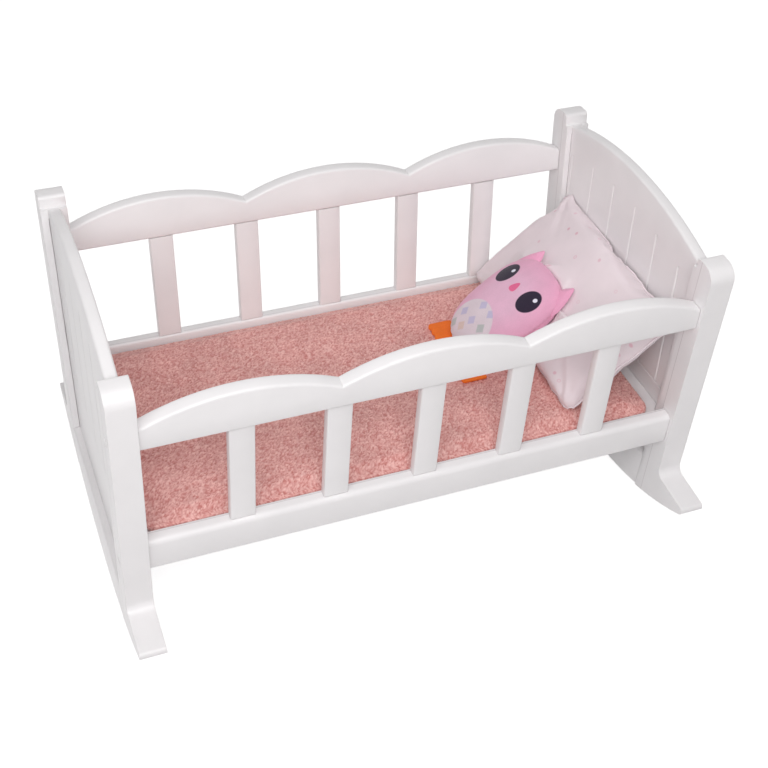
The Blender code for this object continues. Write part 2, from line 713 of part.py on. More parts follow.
def make_pillow(mattress):
    """A stuffed pillow that leans on the end panel, its lower edge on the mattress."""
    shape = cage(PILLOW_CUTS)
    half_slope = PILLOW_SLOPE / 2
    half_width = PILLOW_WIDTH / 2
    for vert in shape.verts:
        a = sin(vert.co.x * pi / 2)
        b = sin(vert.co.y * pi / 2)
        full = PILLOW_EDGE + (PILLOW_THICKNESS - PILLOW_EDGE) * (dome(a, 2.4) * dome(b, 2.8)) ** 0.62
        pull = 1 - PILLOW_CORNER_SHARE * (a * b) ** 4
        x = a * pull * (half_slope - PILLOW_DRAW_IN * dome(b, 2))
        y = b * pull * (half_width - PILLOW_DRAW_IN * dome(a, 2))
        vert.co = Vector((x, y, full / 2 * vert.co.z))
    mesh = bpy.data.meshes.new("pillow")
    shape.to_mesh(mesh)
    shape.free()
    middle = (WALL_X - PILLOW_FROM_WALL, PILLOW_OFF_MIDDLE, BED_TOP + PILLOW_RISE)
    pillow = add_object("pillow", mesh, COTTON, middle, (0, -PILLOW_TILT, PILLOW_TURN))
    pillow.rotation_mode = "ZYX"
    soften(pillow)
    cut(pillow, swollen(mattress, "pillow_bed"))
    wall = block("wall_room", (PILLOW_THICKNESS, 2 * PILLOW_WIDTH, 2 * PILLOW_SLOPE))
    cut(pillow, as_cutter(add_object("wall_room", wall, None,
                                     (WALL_X - GAP + PILLOW_THICKNESS / 2, *middle[1:]))))
    return pillow


def swollen(piece, name):
    """A cutter a seam's clearance larger all over than a soft piece."""
    cutter = as_cutter(add_object(name, evaluated_mesh(piece), None))
    cutter.matrix_world = piece.matrix_world.copy()
    grow = cutter.modifiers.new("grow", "DISPLACE")
    grow.strength = GAP
    grow.mid_level = 0
    return cutter


def squareness(a, b):
    """How much a point is pushed out from the middle to turn a circle into a fuller, squarer outline."""
    reach = sqrt(a * a + b * b)
    if reach == 0:
        return 1
    return reach / (abs(a) ** OWL_FULLNESS + abs(b) ** OWL_FULLNESS) ** (1 / OWL_FULLNESS)


def make_owl(mattress, pillow):
    """A flat stuffed owl with local X from feet to head: body, two pointed ears and two felt feet."""
    location = (WALL_X - OWL_FROM_WALL, OWL_OFF_MIDDLE, BED_TOP + OWL_RISE)
    rotation = (0, -OWL_TILT, 0)
    shape = bmesh.new()
    half = OWL_LENGTH / 2
    bmesh.ops.create_uvsphere(shape, u_segments=BODY_SIDES, v_segments=BODY_RINGS, radius=half)
    bmesh.ops.rotate(shape, verts=shape.verts, cent=(0, 0, 0), matrix=Matrix.Rotation(pi / 2, 3, "Y"))
    for vert in shape.verts:
        a, b, c = vert.co / half
        swell = squareness(a, b)
        width = OWL_FOOT_END_WIDTH + (OWL_HEAD_END_WIDTH - OWL_FOOT_END_WIDTH) * (a + 1) / 2
        vert.co = Vector((a * swell * OWL_LENGTH / 2, b * swell * width / 2, c * OWL_THICKNESS / 2))
    mesh = bpy.data.meshes.new("owl_body")
    shape.to_mesh(mesh)
    shape.free()
    body = add_object("owl_body", mesh, PLUSH, location, rotation)
    body.data.shade_smooth()
    beds = [swollen(mattress, "mattress_room"), swollen(pillow, "pillow_room")]
    for bed in beds:
        cut(body, bed)
    room = swollen(body, "owl_room")
    frame = bpy.data.objects.new("owl_frame", None)
    frame.location = location
    frame.rotation_euler = rotation
    PIECES.objects.link(frame)
    for name, way in (("back", 1), ("front", -1)):
        shape = bmesh.new()
        half = OWL_EAR_LENGTH / 2
        bmesh.ops.create_uvsphere(shape, u_segments=EAR_SIDES, v_segments=EAR_RINGS, radius=half)
        bmesh.ops.rotate(shape, verts=shape.verts, cent=(0, 0, 0), matrix=Matrix.Rotation(pi / 2, 3, "Y"))
        for vert in shape.verts:
            a, b, c = vert.co / half
            narrow = 1 - OWL_EAR_POINT_SHARE * (a + 1) / 2
            vert.co = Vector(((a + 1) / 2 * OWL_EAR_LENGTH, b * narrow * OWL_EAR_WIDTH / 2,
                              c * narrow * OWL_EAR_THICKNESS / 2))
        mesh = bpy.data.meshes.new("owl_ear")
        shape.to_mesh(mesh)
        shape.free()
        ear = add_object(f"owl_ear_{name}", mesh, PLUSH,
                         (OWL_EAR_REACH - OWL_EAR_LENGTH, way * OWL_EAR_SPREAD, 0),
                         (0, 0, way * OWL_EAR_TURN), frame)
        ear.data.shade_smooth()
        for cutter in beds + [room]:
            cut(ear, cutter)
        mesh = block("owl_foot", (OWL_FOOT_LENGTH, OWL_FOOT_WIDTH, OWL_FOOT_THICKNESS))
        ease(mesh, OWL_FOOT_THICKNESS / 3, segments=2)
        foot_height = BED_TOP + GAP + OWL_FOOT_THICKNESS / 2
        foot = add_object(f"owl_foot_{name}", mesh, FELT,
                          (WALL_X - OWL_FOOT_FROM_WALL, OWL_OFF_MIDDLE + way * OWL_FOOT_SPREAD, foot_height))
        for cutter in beds + [room]:
            cut(foot, cutter)
        shade(foot)


for old in list(bpy.data.objects):
    bpy.data.objects.remove(old, do_unlink=True)

PIECES = fresh_collection("doll_cradle")
CUTTERS = fresh_collection("cutters")
PAINT = paint("white_paint", WHITE_PAINT, 0.35)
STEEL = paint("screw_steel", BRIGHT_STEEL, 0.3, 1.0)
FLEECE = paint("salmon_fleece", SALMON_FLEECE, 0.95)
COTTON = paint("pale_pink_cotton", PALE_PINK, 0.85)
PLUSH = paint("pink_plush", OWL_PINK, 0.9)
FELT = paint("orange_felt", ORANGE_FELT, 0.9)

SIDES = {"front": side_frame("front_side", -1), "back": side_frame("back_side", 1)}
make_posts(SIDES)
make_rocker_rails()
make_aprons()
make_panels()
make_rails(SIDES)
make_slats(SIDES)
make_screws(SIDES)
make_base()
MATTRESS = make_mattress()
PILLOW = make_pillow(MATTRESS)
make_owl(MATTRESS, PILLOW)
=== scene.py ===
from math import cos, pi, radians, sin

import bmesh
import bpy
import numpy as np
from mathutils import Matrix, Vector, noise
from mathutils.bvhtree import BVHTree


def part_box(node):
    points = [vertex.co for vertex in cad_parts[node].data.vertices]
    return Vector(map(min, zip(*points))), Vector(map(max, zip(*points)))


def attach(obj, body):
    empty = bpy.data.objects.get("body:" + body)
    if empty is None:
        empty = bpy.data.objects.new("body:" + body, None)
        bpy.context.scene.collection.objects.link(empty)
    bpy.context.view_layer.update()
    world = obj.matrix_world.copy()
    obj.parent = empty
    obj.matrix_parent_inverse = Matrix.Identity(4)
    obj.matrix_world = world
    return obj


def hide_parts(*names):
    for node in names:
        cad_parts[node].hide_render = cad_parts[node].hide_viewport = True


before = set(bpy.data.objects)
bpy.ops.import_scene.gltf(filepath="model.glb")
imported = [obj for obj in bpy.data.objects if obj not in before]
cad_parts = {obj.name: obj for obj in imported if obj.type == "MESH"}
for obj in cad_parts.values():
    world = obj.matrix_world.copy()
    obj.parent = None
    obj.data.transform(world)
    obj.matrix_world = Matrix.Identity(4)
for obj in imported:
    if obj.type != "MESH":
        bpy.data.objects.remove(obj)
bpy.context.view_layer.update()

# The camera stands in front of the cradle and to its left, above the front rail, and looks down
# into the bed. Its lens is a little long.
CAMERA_PLACE = (-0.3353, -0.8566, 0.9034)
CAMERA_HEADING = radians(-24.26)
CAMERA_TILT = radians(51.60)
CAMERA_ROLL = radians(3.91)
lens = bpy.data.cameras.new("camera")
lens.sensor_width = 36
lens.lens = 64.19
lens.shift_x = -0.0579
lens.shift_y = -0.0607
camera = bpy.data.objects.new("camera", lens)
camera.matrix_world = (Matrix.Translation(CAMERA_PLACE) @ Matrix.Rotation(CAMERA_HEADING, 4, "Z")
                       @ Matrix.Rotation(CAMERA_TILT, 4, "X") @ Matrix.Rotation(CAMERA_ROLL, 4, "Z"))
bpy.context.scene.collection.objects.link(camera)
bpy.context.scene.camera = camera
bpy.context.scene.view_settings.view_transform = "Standard"

# The studio is a white floor and a white surround, with one soft lamp beside the camera, one
# further to the left and a third high over the cradle. Floor and surround look white to the camera
# and in reflections, and light the piece less.
SURROUND_LIGHT = (0.34, 0.335, 0.335, 1.0)
WHITE = (1.0, 1.0, 1.0, 1.0)
FLOOR_COLOUR = (0.70, 0.69, 0.69, 1.0)
FLOOR_LIFT = 0.74
FLOOR_SIZE = 12.0
LAMPS = {"beside_camera": ((-0.30, -1.05, 1.15), 0.6, 7.6), "left_front": ((-0.95, -0.95, 1.25), 0.7, 5.4),
         "over_cradle": ((-0.05, -0.25, 0.98), 0.4, 1.1)}
LAMP_AIM = Vector((0, 0, 0.15))


def node(tree, kind, values=None, **settings):
    """A shader node. Each value is a number or colour to set, or another node's output to link."""
    made = tree.nodes.new("ShaderNode" + kind)
    for key, value in settings.items():
        setattr(made, key, value)
    for key, value in (values or {}).items():
        if isinstance(value, bpy.types.NodeSocket):
            tree.links.new(value, made.inputs[key])
        else:
            made.inputs[key].default_value = value
    return made


def seen_directly(tree):
    """1 for the camera, for reflections and through glass, and 0 for the light on other things."""
    path = node(tree, "LightPath")
    some = node(tree, "Math", {0: path.outputs["Is Camera Ray"], 1: path.outputs["Is Glossy Ray"]})
    every = node(tree, "Math", {0: some.outputs[0], 1: path.outputs["Is Transmission Ray"]}, use_clamp=True)
    return every.outputs[0]


world = bpy.data.worlds.new("surround")
world.use_nodes = True
sky = world.node_tree
glow = node(sky, "Mix", {"Factor": seen_directly(sky), "A": SURROUND_LIGHT, "B": WHITE}, data_type="RGBA")
sky.links.new(glow.outputs["Result"], sky.nodes["Background"].inputs["Color"])
bpy.context.scene.world = world

floor_mesh = bpy.data.meshes.new("floor")
edge = FLOOR_SIZE / 2
corners = [(-edge, -edge, 0), (edge, -edge, 0), (edge, edge, 0), (-edge, edge, 0)]
floor_mesh.from_pydata(corners, [], [(0, 1, 2, 3)])
floor = bpy.data.objects.new("floor", floor_mesh)
bpy.context.scene.collection.objects.link(floor)
floor_paint = bpy.data.materials.new("floor")
floor_paint.use_nodes = True
tree = floor_paint.node_tree
shader = tree.nodes["Principled BSDF"]
shader.inputs["Base Color"].default_value = FLOOR_COLOUR
shader.inputs["Roughness"].default_value = 0.9
shader.inputs["Specular IOR Level"].default_value = 0.1
shader.inputs["Emission Color"].default_value = WHITE
lift = node(tree, "Math", {0: seen_directly(tree), 1: FLOOR_LIFT}, operation="MULTIPLY")
tree.links.new(lift.outputs[0], shader.inputs["Emission Strength"])
floor_mesh.materials.append(floor_paint)

for name, (place, size, power) in LAMPS.items():
    light = bpy.data.lights.new(name, "AREA")
    light.shape = "SQUARE"
    light.size = size
    light.energy = power
    lamp = bpy.data.objects.new(name, light)
    lamp.location = place
    lamp.visible_camera = False
    lamp.rotation_euler = (LAMP_AIM - Vector(place)).to_track_quat("-Z", "Y").to_euler()
    bpy.context.scene.collection.objects.link(lamp)

# The four corner posts are square bars of wood with rounded edges, sprayed in satin white. A
# sprayed coat has a faint skin like orange peel. Its colour carries a painted highlight, a little
# lighter along the rounded edges, and painted shade, greyer in the joints, corners and scored lines.
SATIN_WHITE = (0.88, 0.86, 0.868, 1.0)
# Painted highlight: the colour of the rounded edges, a little lighter than the coat.
EDGE_HIGHLIGHT = (0.90, 0.875, 0.87, 1.0)
SIDE_LEAN = radians(4)
SIDE_FOOT = 0.12265
SCORE_HALF_WIDTH = 0.00045
# The score line: a shallow cut in the relief, with its dark colour painted as shade in the cut.
SCORE_SHADE = 0.75
# Painted shade: the grey that ambient occlusion lays into joints, grooves and corners, and how far it
# reaches.
PAINTED_SHADE_GREY = (0.50, 0.45, 0.46, 1.0)
JOINT_SHADE_REACH = 0.006
EDGE_RADIUS = 0.0009
CLOUD_SCALE, SKIN_SCALE, GRAIN_SCALE = 26.0, 950.0, 240.0
GLOSS_LEAST, GLOSS_MOST = 0.27, 0.40
SKIN_DEPTH = 0.00012
SHARP_BEND = radians(32)


def new_group(name, inputs, outputs):
    """A shader node group. It returns the tree, the sockets that come in and those that go out."""
    made = bpy.data.node_groups.new(name, "ShaderNodeTree")
    for label, value in inputs.items():
        kind = {1: "Float", 3: "Vector", 4: "Color"}[len(value) if isinstance(value, tuple) else 1]
        socket = made.interface.new_socket(label, in_out="INPUT", socket_type="NodeSocket" + kind)
        socket.default_value = value
    for label, kind in outputs.items():
        made.interface.new_socket(label, in_out="OUTPUT", socket_type="NodeSocket" + kind)
    return made, made.nodes.new("NodeGroupInput").outputs, made.nodes.new("NodeGroupOutput").inputs


def placed(tree, made, values):
    """A node group placed in a material."""
    group = node(tree, "Group", node_tree=made)
    for key, value in values.items():
        group.inputs[key].default_value = value
    return group.outputs


def new_material(name, values):
    """A Principled material. It returns the material, its tree and its shader."""
    made = bpy.data.materials.new(name)
    made.use_nodes = True
    shader = made.node_tree.nodes["Principled BSDF"]
    for key, value in values.items():
        shader.inputs[key].default_value = value
    return made, made.node_tree, shader


def sprayed_coat():
    """The sprayed coat: colour with painted shade and a painted highlight in it, gloss, height of the skin,
    and the normal of a soft edge.
    """
    tree, given, out = new_group(
        "sprayed_coat", {"Paint": SATIN_WHITE, "Grain": (1.0, 1.0, 1.0), "Mottle": 0.03, "Joint shade": 0.5,
                         "Score depth": -1.0, "Score facing": (0.0, 0.0, 1.0)},
        {"Colour": "Color", "Gloss": "Float", "Height": "Float", "Normal": "Vector"})
    place = node(tree, "TexCoord").outputs["Object"]
    along = node(tree, "VectorMath", {0: place, 1: given["Grain"]}, operation="MULTIPLY").outputs[0]
    cloud = node(tree, "TexNoise", {"Vector": place, "Scale": CLOUD_SCALE, "Detail": 3.0}).outputs["Fac"]
    skin = node(tree, "TexNoise", {"Vector": place, "Scale": SKIN_SCALE, "Detail": 1.0}).outputs["Fac"]
    grain = node(tree, "TexNoise", {"Vector": along, "Scale": GRAIN_SCALE, "Detail": 3.0}).outputs["Fac"]
    soft = node(tree, "Bevel", {"Radius": EDGE_RADIUS}, samples=6).outputs[0]
    true = node(tree, "NewGeometry").outputs["Normal"]
    match = node(tree, "VectorMath", {0: soft, 1: true}, operation="DOT_PRODUCT").outputs["Value"]
    edge = node(tree, "MapRange", {"Value": match, "From Min": 0.995, "From Max": 0.80}).outputs[0]
    # Painted shade: ambient occlusion greys the paint where parts meet, in grooves and in corners.
    open_air = node(tree, "AmbientOcclusion", {"Distance": JOINT_SHADE_REACH}, samples=8).outputs["AO"]
    occlusion_shade = node(tree, "MapRange", {"Value": open_air, "From Min": 0.5, "From Max": 0.1}).outputs[0]
    painted_joint_shade = node(tree, "Math", {0: occlusion_shade, 1: given["Joint shade"]}, operation="MULTIPLY").outputs[0]
    shift = node(tree, "MapRange", {"Value": cloud, "From Min": 0.3, "From Max": 0.7,
                                    "To Min": -1.0}).outputs[0]
    tone = node(tree, "Math", {0: shift, 1: given["Mottle"], 2: 1.0}, operation="MULTIPLY_ADD").outputs[0]
    toned = node(tree, "VectorMath", {0: given["Paint"], "Scale": tone}, operation="SCALE").outputs[0]
    # Painted highlight: the rounded edges are painted a little lighter.
    edge_highlit = node(tree, "Mix", {"Factor": edge, "A": toned, "B": EDGE_HIGHLIGHT}, data_type="RGBA").outputs["Result"]
    parts = node(tree, "SeparateXYZ", {0: place}).outputs
    out_y = node(tree, "Math", {0: parts[1]}, operation="ABSOLUTE").outputs[0]
    lean_y = node(tree, "Math", {0: out_y, 1: -cos(SIDE_LEAN), 2: SIDE_FOOT * cos(SIDE_LEAN)},
                  operation="MULTIPLY_ADD").outputs[0]
    depth = node(tree, "Math", {0: parts[2], 1: sin(SIDE_LEAN), 2: lean_y},
                 operation="MULTIPLY_ADD").outputs[0]
    beside = node(tree, "Math", {0: depth, 1: given["Score depth"]}, operation="SUBTRACT").outputs[0]
    off = node(tree, "Math", {0: beside}, operation="ABSOLUTE").outputs[0]
    line = node(tree, "MapRange", {"Value": off, "From Min": SCORE_HALF_WIDTH, "From Max": 0.0}).outputs[0]
    face = node(tree, "VectorMath", {0: true, 1: given["Score facing"]},
                operation="DOT_PRODUCT").outputs["Value"]
    turned = node(tree, "Math", {0: face}, operation="ABSOLUTE").outputs[0]
    facing = node(tree, "Math", {0: turned, 1: 0.95}, operation="GREATER_THAN").outputs[0]
    score = node(tree, "Math", {0: line, 1: facing}, operation="MULTIPLY").outputs[0]
    # Painted shade in the score line.
    score_shade = node(tree, "Math", {0: score, 1: SCORE_SHADE}, operation="MULTIPLY").outputs[0]
    # Painted shade: the shade in joints and in the score line, mixed towards grey.
    painted_shade = node(tree, "Math", {0: painted_joint_shade, 1: score_shade}, operation="MAXIMUM").outputs[0]
    colour = node(tree, "Mix", {"Factor": painted_shade, "A": edge_highlit, "B": PAINTED_SHADE_GREY},
                  data_type="RGBA").outputs["Result"]
    gloss = node(tree, "MapRange", {"Value": grain, "To Min": GLOSS_LEAST, "To Max": GLOSS_MOST}).outputs[0]
    relief = node(tree, "Math", {0: grain, 1: 0.6, 2: skin}, operation="MULTIPLY_ADD").outputs[0]
    height = node(tree, "Math", {0: score, 1: -3.0, 2: relief}, operation="MULTIPLY_ADD").outputs[0]
    for label, value in {"Colour": colour, "Gloss": gloss, "Height": height, "Normal": soft}.items():
        tree.links.new(value, out[label])
    return tree


COAT = sprayed_coat()


def painted(name, grain, mottle=0.02, joint_shade=0.25, score=-1.0, facing=(0.0, 0.0, 1.0)):
    """Satin white paint over wood whose grain runs along the axis with the small number.
    A score is a fine line cut that deep in from the outside of the cradle's side; its dark colour is painted
    shade in the cut."""
    made, tree, shader = new_material("satin_white_" + name, {"Specular IOR Level": 0.45})
    coat = placed(tree, COAT, {"Grain": grain, "Mottle": mottle, "Joint shade": joint_shade,
                                "Score depth": score, "Score facing": facing})
    skin = node(tree, "Bump", {"Height": coat["Height"], "Normal": coat["Normal"], "Strength": 0.35,
                               "Distance": SKIN_DEPTH})
    tree.links.new(coat["Colour"], shader.inputs["Base Color"])
    tree.links.new(coat["Gloss"], shader.inputs["Roughness"])
    tree.links.new(skin.outputs[0], shader.inputs["Normal"])
    return made


def rounded_shading():
    """Shades gently curved faces as one surface and keeps the sharp bends."""
    tree = bpy.data.node_groups.new("rounded_shading", "GeometryNodeTree")
    for way in ("INPUT", "OUTPUT"):
        tree.interface.new_socket("Mesh", in_out=way, socket_type="NodeSocketGeometry")
    start, end = tree.nodes.new("NodeGroupInput"), tree.nodes.new("NodeGroupOutput")
    join = tree.nodes.new("GeometryNodeMergeByDistance")
    join.inputs["Distance"].default_value = 0.00001
    bend = tree.nodes.new("GeometryNodeInputMeshEdgeAngle")
    sharp = tree.nodes.new("FunctionNodeCompare")
    sharp.inputs["B"].default_value = SHARP_BEND
    normal = tree.nodes.new("GeometryNodeSetMeshNormal")
    normal.mode = "SHARPNESS"
    normal.inputs["Remove Custom"].default_value = True
    links = {join.inputs["Geometry"]: start.outputs[0], normal.inputs["Mesh"]: join.outputs[0],
             sharp.inputs["A"]: bend.outputs["Unsigned Angle"],
             normal.inputs["Edge Sharpness"]: sharp.outputs[0], end.inputs[0]: normal.outputs[0]}
    for target, source in links.items():
        tree.links.new(source, target)
    return tree


ROUNDED = rounded_shading()


def finish_nodes(names, material):
    """Gives the frame's own solids their finish."""
    for name in names:
        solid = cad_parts[name]
        solid.modifiers.new("rounded_shading", "NODES").node_group = ROUNDED
        for slot in solid.material_slots:
            slot.material = material
        if not solid.material_slots:
            solid.data.materials.append(material)


UPRIGHT, LENGTHWISE, CROSSWISE = (1.0, 1.0, 0.08), (0.08, 1.0, 1.0), (1.0, 0.08, 1.0)
ENDS, FACES = ("left", "right"), ("front", "back")
finish_nodes([f"post_{face}_{end}" for face in FACES for end in ENDS],
             painted("post", UPRIGHT, score=0.0176, facing=(1.0, 0.0, 0.0)))

# The rocker rails are curved boards under the two ends, with flared feet. They touch the floor
# along a short flat, and their paint is a little more mottled where hands and floor rub it.
finish_nodes([f"rocker_rail_{end}" for end in ENDS], painted("rocker", CROSSWISE, 0.04))

# Each end is closed by an arched panel with upright V grooves, held between the posts, and a
# plain board under it.
# The panel's paint takes more painted shade from ambient occlusion in its grooves.
finish_nodes([f"panel_{end}" for end in ENDS], painted("panel", UPRIGHT, 0.02, 0.45))
finish_nodes([f"apron_{end}" for end in ENDS], painted("apron", CROSSWISE))

# Top and bottom rails join the posts along each side. The top ones are cut in three shallow
# scallops, and the bottom ones have a fine line scored along their top, which the posts take up.
# The line is a shallow cut in the relief, painted dark as the shade in it.
finish_nodes([f"top_rail_{face}" for face in FACES], painted("top_rail", LENGTHWISE))
finish_nodes([f"bottom_rail_{face}" for face in FACES], painted("bottom_rail", LENGTHWISE, score=0.0138))

# Five flat slats stand in mortises between the rails on each side.
finish_nodes([f"slat_{face}_{place}" for face in FACES for place in range(1, 6)], painted("slat", UPRIGHT))

# A thin base board lies on two battens that are glued along the inside of the bottom rails.
finish_nodes(["base_board", "batten_front", "batten_back"], painted("base", LENGTHWISE, 0.05))

# The screws that pull each rail to its post are bright steel with a round drive socket, turned on
# a lathe, so that fine rings show on the heads.
STEEL_COLOUR = (0.62, 0.62, 0.63, 1.0)
RING_SCALE, RING_DEPTH = 2600.0, 0.00005
steel, tree, shader = new_material("bright_steel", {"Metallic": 1.0, "Base Color": STEEL_COLOUR})
place = node(tree, "TexCoord").outputs["Object"]
rings = node(tree, "TexNoise", {"Vector": place, "Scale": RING_SCALE, "Detail": 2.0}).outputs["Fac"]
smear = node(tree, "TexNoise", {"Vector": place, "Scale": 300.0}).outputs["Fac"]
tree.links.new(node(tree, "MapRange", {"Value": smear, "To Min": 0.22, "To Max": 0.45}).outputs[0],
               shader.inputs["Roughness"])
tree.links.new(node(tree, "Bump", {"Height": rings, "Strength": 0.3, "Distance": RING_DEPTH}).outputs[0],
               shader.inputs["Normal"])
finish_nodes([f"screw_{face}_{end}_{rail}" for face in FACES for end in ENDS for rail in ("top", "bottom")],
             steel)

# The mattress is a thin pad in curly fleece, sewn in one piece with rounded corners, and laid
# loose on the base board. Its pile is a close mat of small salmon curls; the gaps between them
# are painted dark as shade and the curl tips painted lighter as highlight.
PAD_CORNER = 0.013
PAD_LEFT_REACH = 0.0065
PAD_ROLL = 0.0045
PAD_STEP = 0.0011
CURL_DEPTH = 0.0014
CURL_SPACING = 0.0027
CURL_CLUMP, CURL_WINDING, CURL_FINE, CURL_BASE = 0.36, 0.28, 0.2, 0.2
CURL_LEVEL = 0.85
CURL_SEED = 1
UNDERSIDE = 0.0002
# Painted shade and highlight: the dark colour painted in the gaps between curls, the mid tone, and the light
# colour painted on their tips.
FLEECE_GAP_SHADE = (0.35, 0.082, 0.070, 1.0)
FLEECE_MID = (0.65, 0.255, 0.235, 1.0)
FLEECE_TIP_HIGHLIGHT = (0.95, 0.59, 0.55, 1.0)
FIBRE_SCALE, FIBRE_DEPTH = 1300.0, 0.0006
low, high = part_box("mattress")
low.x -= PAD_LEFT_REACH
pad_middle = (low + high) / 2
pad_half = (high - low) / 2


def rounded_plan(x, y, half, corner):
    """Turns the corners of a rectangle of points round. It gives the points and, at the rim, the way out."""
    over_x = np.clip((np.abs(x) - half[0] + corner) / corner, 0, 1)
    over_y = np.clip((np.abs(y) - half[1] + corner) / corner, 0, 1)
    turn = (over_x > 0) & (over_y > 0)
    out_x = np.where(turn, over_x * np.sqrt(1 - over_y ** 2 / 2), over_x * (over_x >= 1)) * np.sign(x)
    out_y = np.where(turn, over_y * np.sqrt(1 - over_x ** 2 / 2), over_y * (over_y >= 1)) * np.sign(y)
    round_x = np.where(turn, (half[0] - corner) * np.sign(x) + corner * out_x, x)
    round_y = np.where(turn, (half[1] - corner) * np.sign(y) + corner * out_y, y)
    return round_x, round_y, out_x, out_y


def dome(share, power):
    """1 in the middle, falling to 0 at either edge."""
    return np.clip(1 - np.abs(share) ** power, 0, 1)


def make_object(name, points, faces, material, smooth=True):
    """A new mesh object from points and faces, with one material."""
    mesh = bpy.data.meshes.new(name)
    mesh.from_pydata([tuple(map(float, p)) for p in points], [], faces)
    mesh.materials.append(material)
    if smooth:
        mesh.shade_smooth()
    made = bpy.data.objects.new(name, mesh)
    bpy.context.scene.collection.objects.link(made)
    return made


def coordinates(mesh):
    """The points of a mesh as rows of an array."""
    found = np.empty(len(mesh.vertices) * 3, np.float32)
    mesh.vertices.foreach_get("co", found)
    return found.reshape(-1, 3).astype(float)


def set_coordinates(mesh, points):
    """Moves the points of a mesh."""
    mesh.vertices.foreach_set("co", points.astype(np.float32).ravel())
    mesh.update()


def normals(mesh):
    """The normals of a mesh at its points."""
    found = np.empty(len(mesh.vertices) * 3, np.float32)
    mesh.vertex_normals.foreach_get("vector", found)
    return found.reshape(-1, 3).astype(float)


def set_share(mesh, name, values):
    """Keeps a number for each point of a mesh, for its material to read."""
    mesh.attributes.new(name, "FLOAT", "POINT").data.foreach_set("value", values.astype(np.float32))


def pad_points():
    """The top as a grid, the rolled edge as rings going down, and the underside as rings going in."""
    across = round(2 * (pad_half.x - PAD_ROLL) / PAD_STEP)
    up = round(2 * (pad_half.y - PAD_ROLL) / PAD_STEP)
    inner = (pad_half.x - PAD_ROLL, pad_half.y - PAD_ROLL)
    x, y = np.meshgrid(np.linspace(-inner[0], inner[0], across + 1), np.linspace(-inner[1], inner[1], up + 1),
                       indexing="ij")
    x, y, out_x, out_y = rounded_plan(x, y, inner, PAD_CORNER - PAD_ROLL)
    crown = (2 * pad_half.z - 2 * PAD_ROLL) * np.sqrt(dome(x / pad_half.x, 6) * dome(y / pad_half.y, 6))
    rim_drop = crown * np.minimum(1, np.minimum(1 - np.abs(x) / inner[0], 1 - np.abs(y) / inner[1]) * 12)
    points = [np.stack([x.ravel(), y.ravel(), (2 * PAD_ROLL + rim_drop).ravel()], 1)]
    number = np.arange((across + 1) * (up + 1)).reshape(across + 1, up + 1)
    quads = np.stack([number[:-1, :-1], number[1:, :-1], number[1:, 1:], number[:-1, 1:]], -1)
    faces = quads.reshape(-1, 4).tolist()
    rim = np.concatenate([number[:-1, 0], number[-1, :-1], number[:0:-1, -1], number[0, :0:-1]])
    rim_points = points[0][rim]
    out = np.stack([out_x.ravel()[rim], out_y.ravel()[rim]], 1)
    out /= np.linalg.norm(out, axis=1)[:, None]
    last = rim
    total = number.size
    steps = round(pi * PAD_ROLL / PAD_STEP)
    rings = [(PAD_ROLL * cos(turn), PAD_ROLL + PAD_ROLL * sin(turn), 1.0)
             for turn in np.linspace(pi / 2, -pi / 2, steps + 1)[1:]]
    rings += [(0.0, 0.0, share) for share in (0.97, 0.9, 0.75, 0.5, 0.25, 0.08)]
    for reach, height, share in rings:
        ring = np.column_stack([(rim_points[:, :2] + out * reach) * share, np.full(len(rim), height)])
        numbers = np.arange(total, total + len(rim))
        total += len(rim)
        faces += np.stack([last, numbers, np.roll(numbers, -1), np.roll(last, -1)], 1).tolist()
        points.append(ring)
        last = numbers
    faces.append(last.tolist())
    return np.concatenate(points) + [pad_middle.x, pad_middle.y, low.z], faces


def fleece_material():
    """Curly fleece: colour by how high a curl stands, painted shade in the low gaps and painted highlight on
    the high tips, with a fine fibre over it.
    """
    made, tree, shader = new_material("curly_fleece", {
        "Roughness": 0.95, "Sheen Weight": 0.35, "Sheen Roughness": 0.5, "Sheen Tint": (1.0, 0.85, 0.82, 1.0),
        "Specular IOR Level": 0.15})
    curl = node(tree, "Attribute", attribute_name="curl").outputs["Fac"]
    place = node(tree, "TexCoord").outputs["Object"]
    fibre = node(tree, "TexNoise", {"Vector": place, "Scale": FIBRE_SCALE, "Detail": 3.0}).outputs["Fac"]
    patch = node(tree, "TexNoise", {"Vector": place, "Scale": 34.0, "Detail": 2.0}).outputs["Fac"]
    stood = node(tree, "Math", {0: fibre, 1: 0.5, 2: curl}, operation="MULTIPLY_ADD").outputs[0]
    # Painted shade in the low gaps and painted highlight on the high tips, by curl height.
    ramp = node(tree, "ValToRGB", {"Fac": stood})
    stops = ramp.color_ramp.elements
    stops[0].position, stops[0].color = 0.18, FLEECE_GAP_SHADE
    stops[1].position, stops[1].color = 0.98, FLEECE_TIP_HIGHLIGHT
    middle = stops.new(0.52)
    middle.color = FLEECE_MID
    shade = node(tree, "MapRange", {"Value": patch, "From Min": 0.3, "From Max": 0.7,
                                    "To Min": 0.93, "To Max": 1.05})
    toned = node(tree, "VectorMath", {0: ramp.outputs[0], "Scale": shade.outputs[0]}, operation="SCALE")
    tree.links.new(toned.outputs[0], shader.inputs["Base Color"])
    tree.links.new(node(tree, "Bump", {"Height": stood, "Strength": 0.5, "Distance": FIBRE_DEPTH}).outputs[0],
                   shader.inputs["Normal"])
    return made


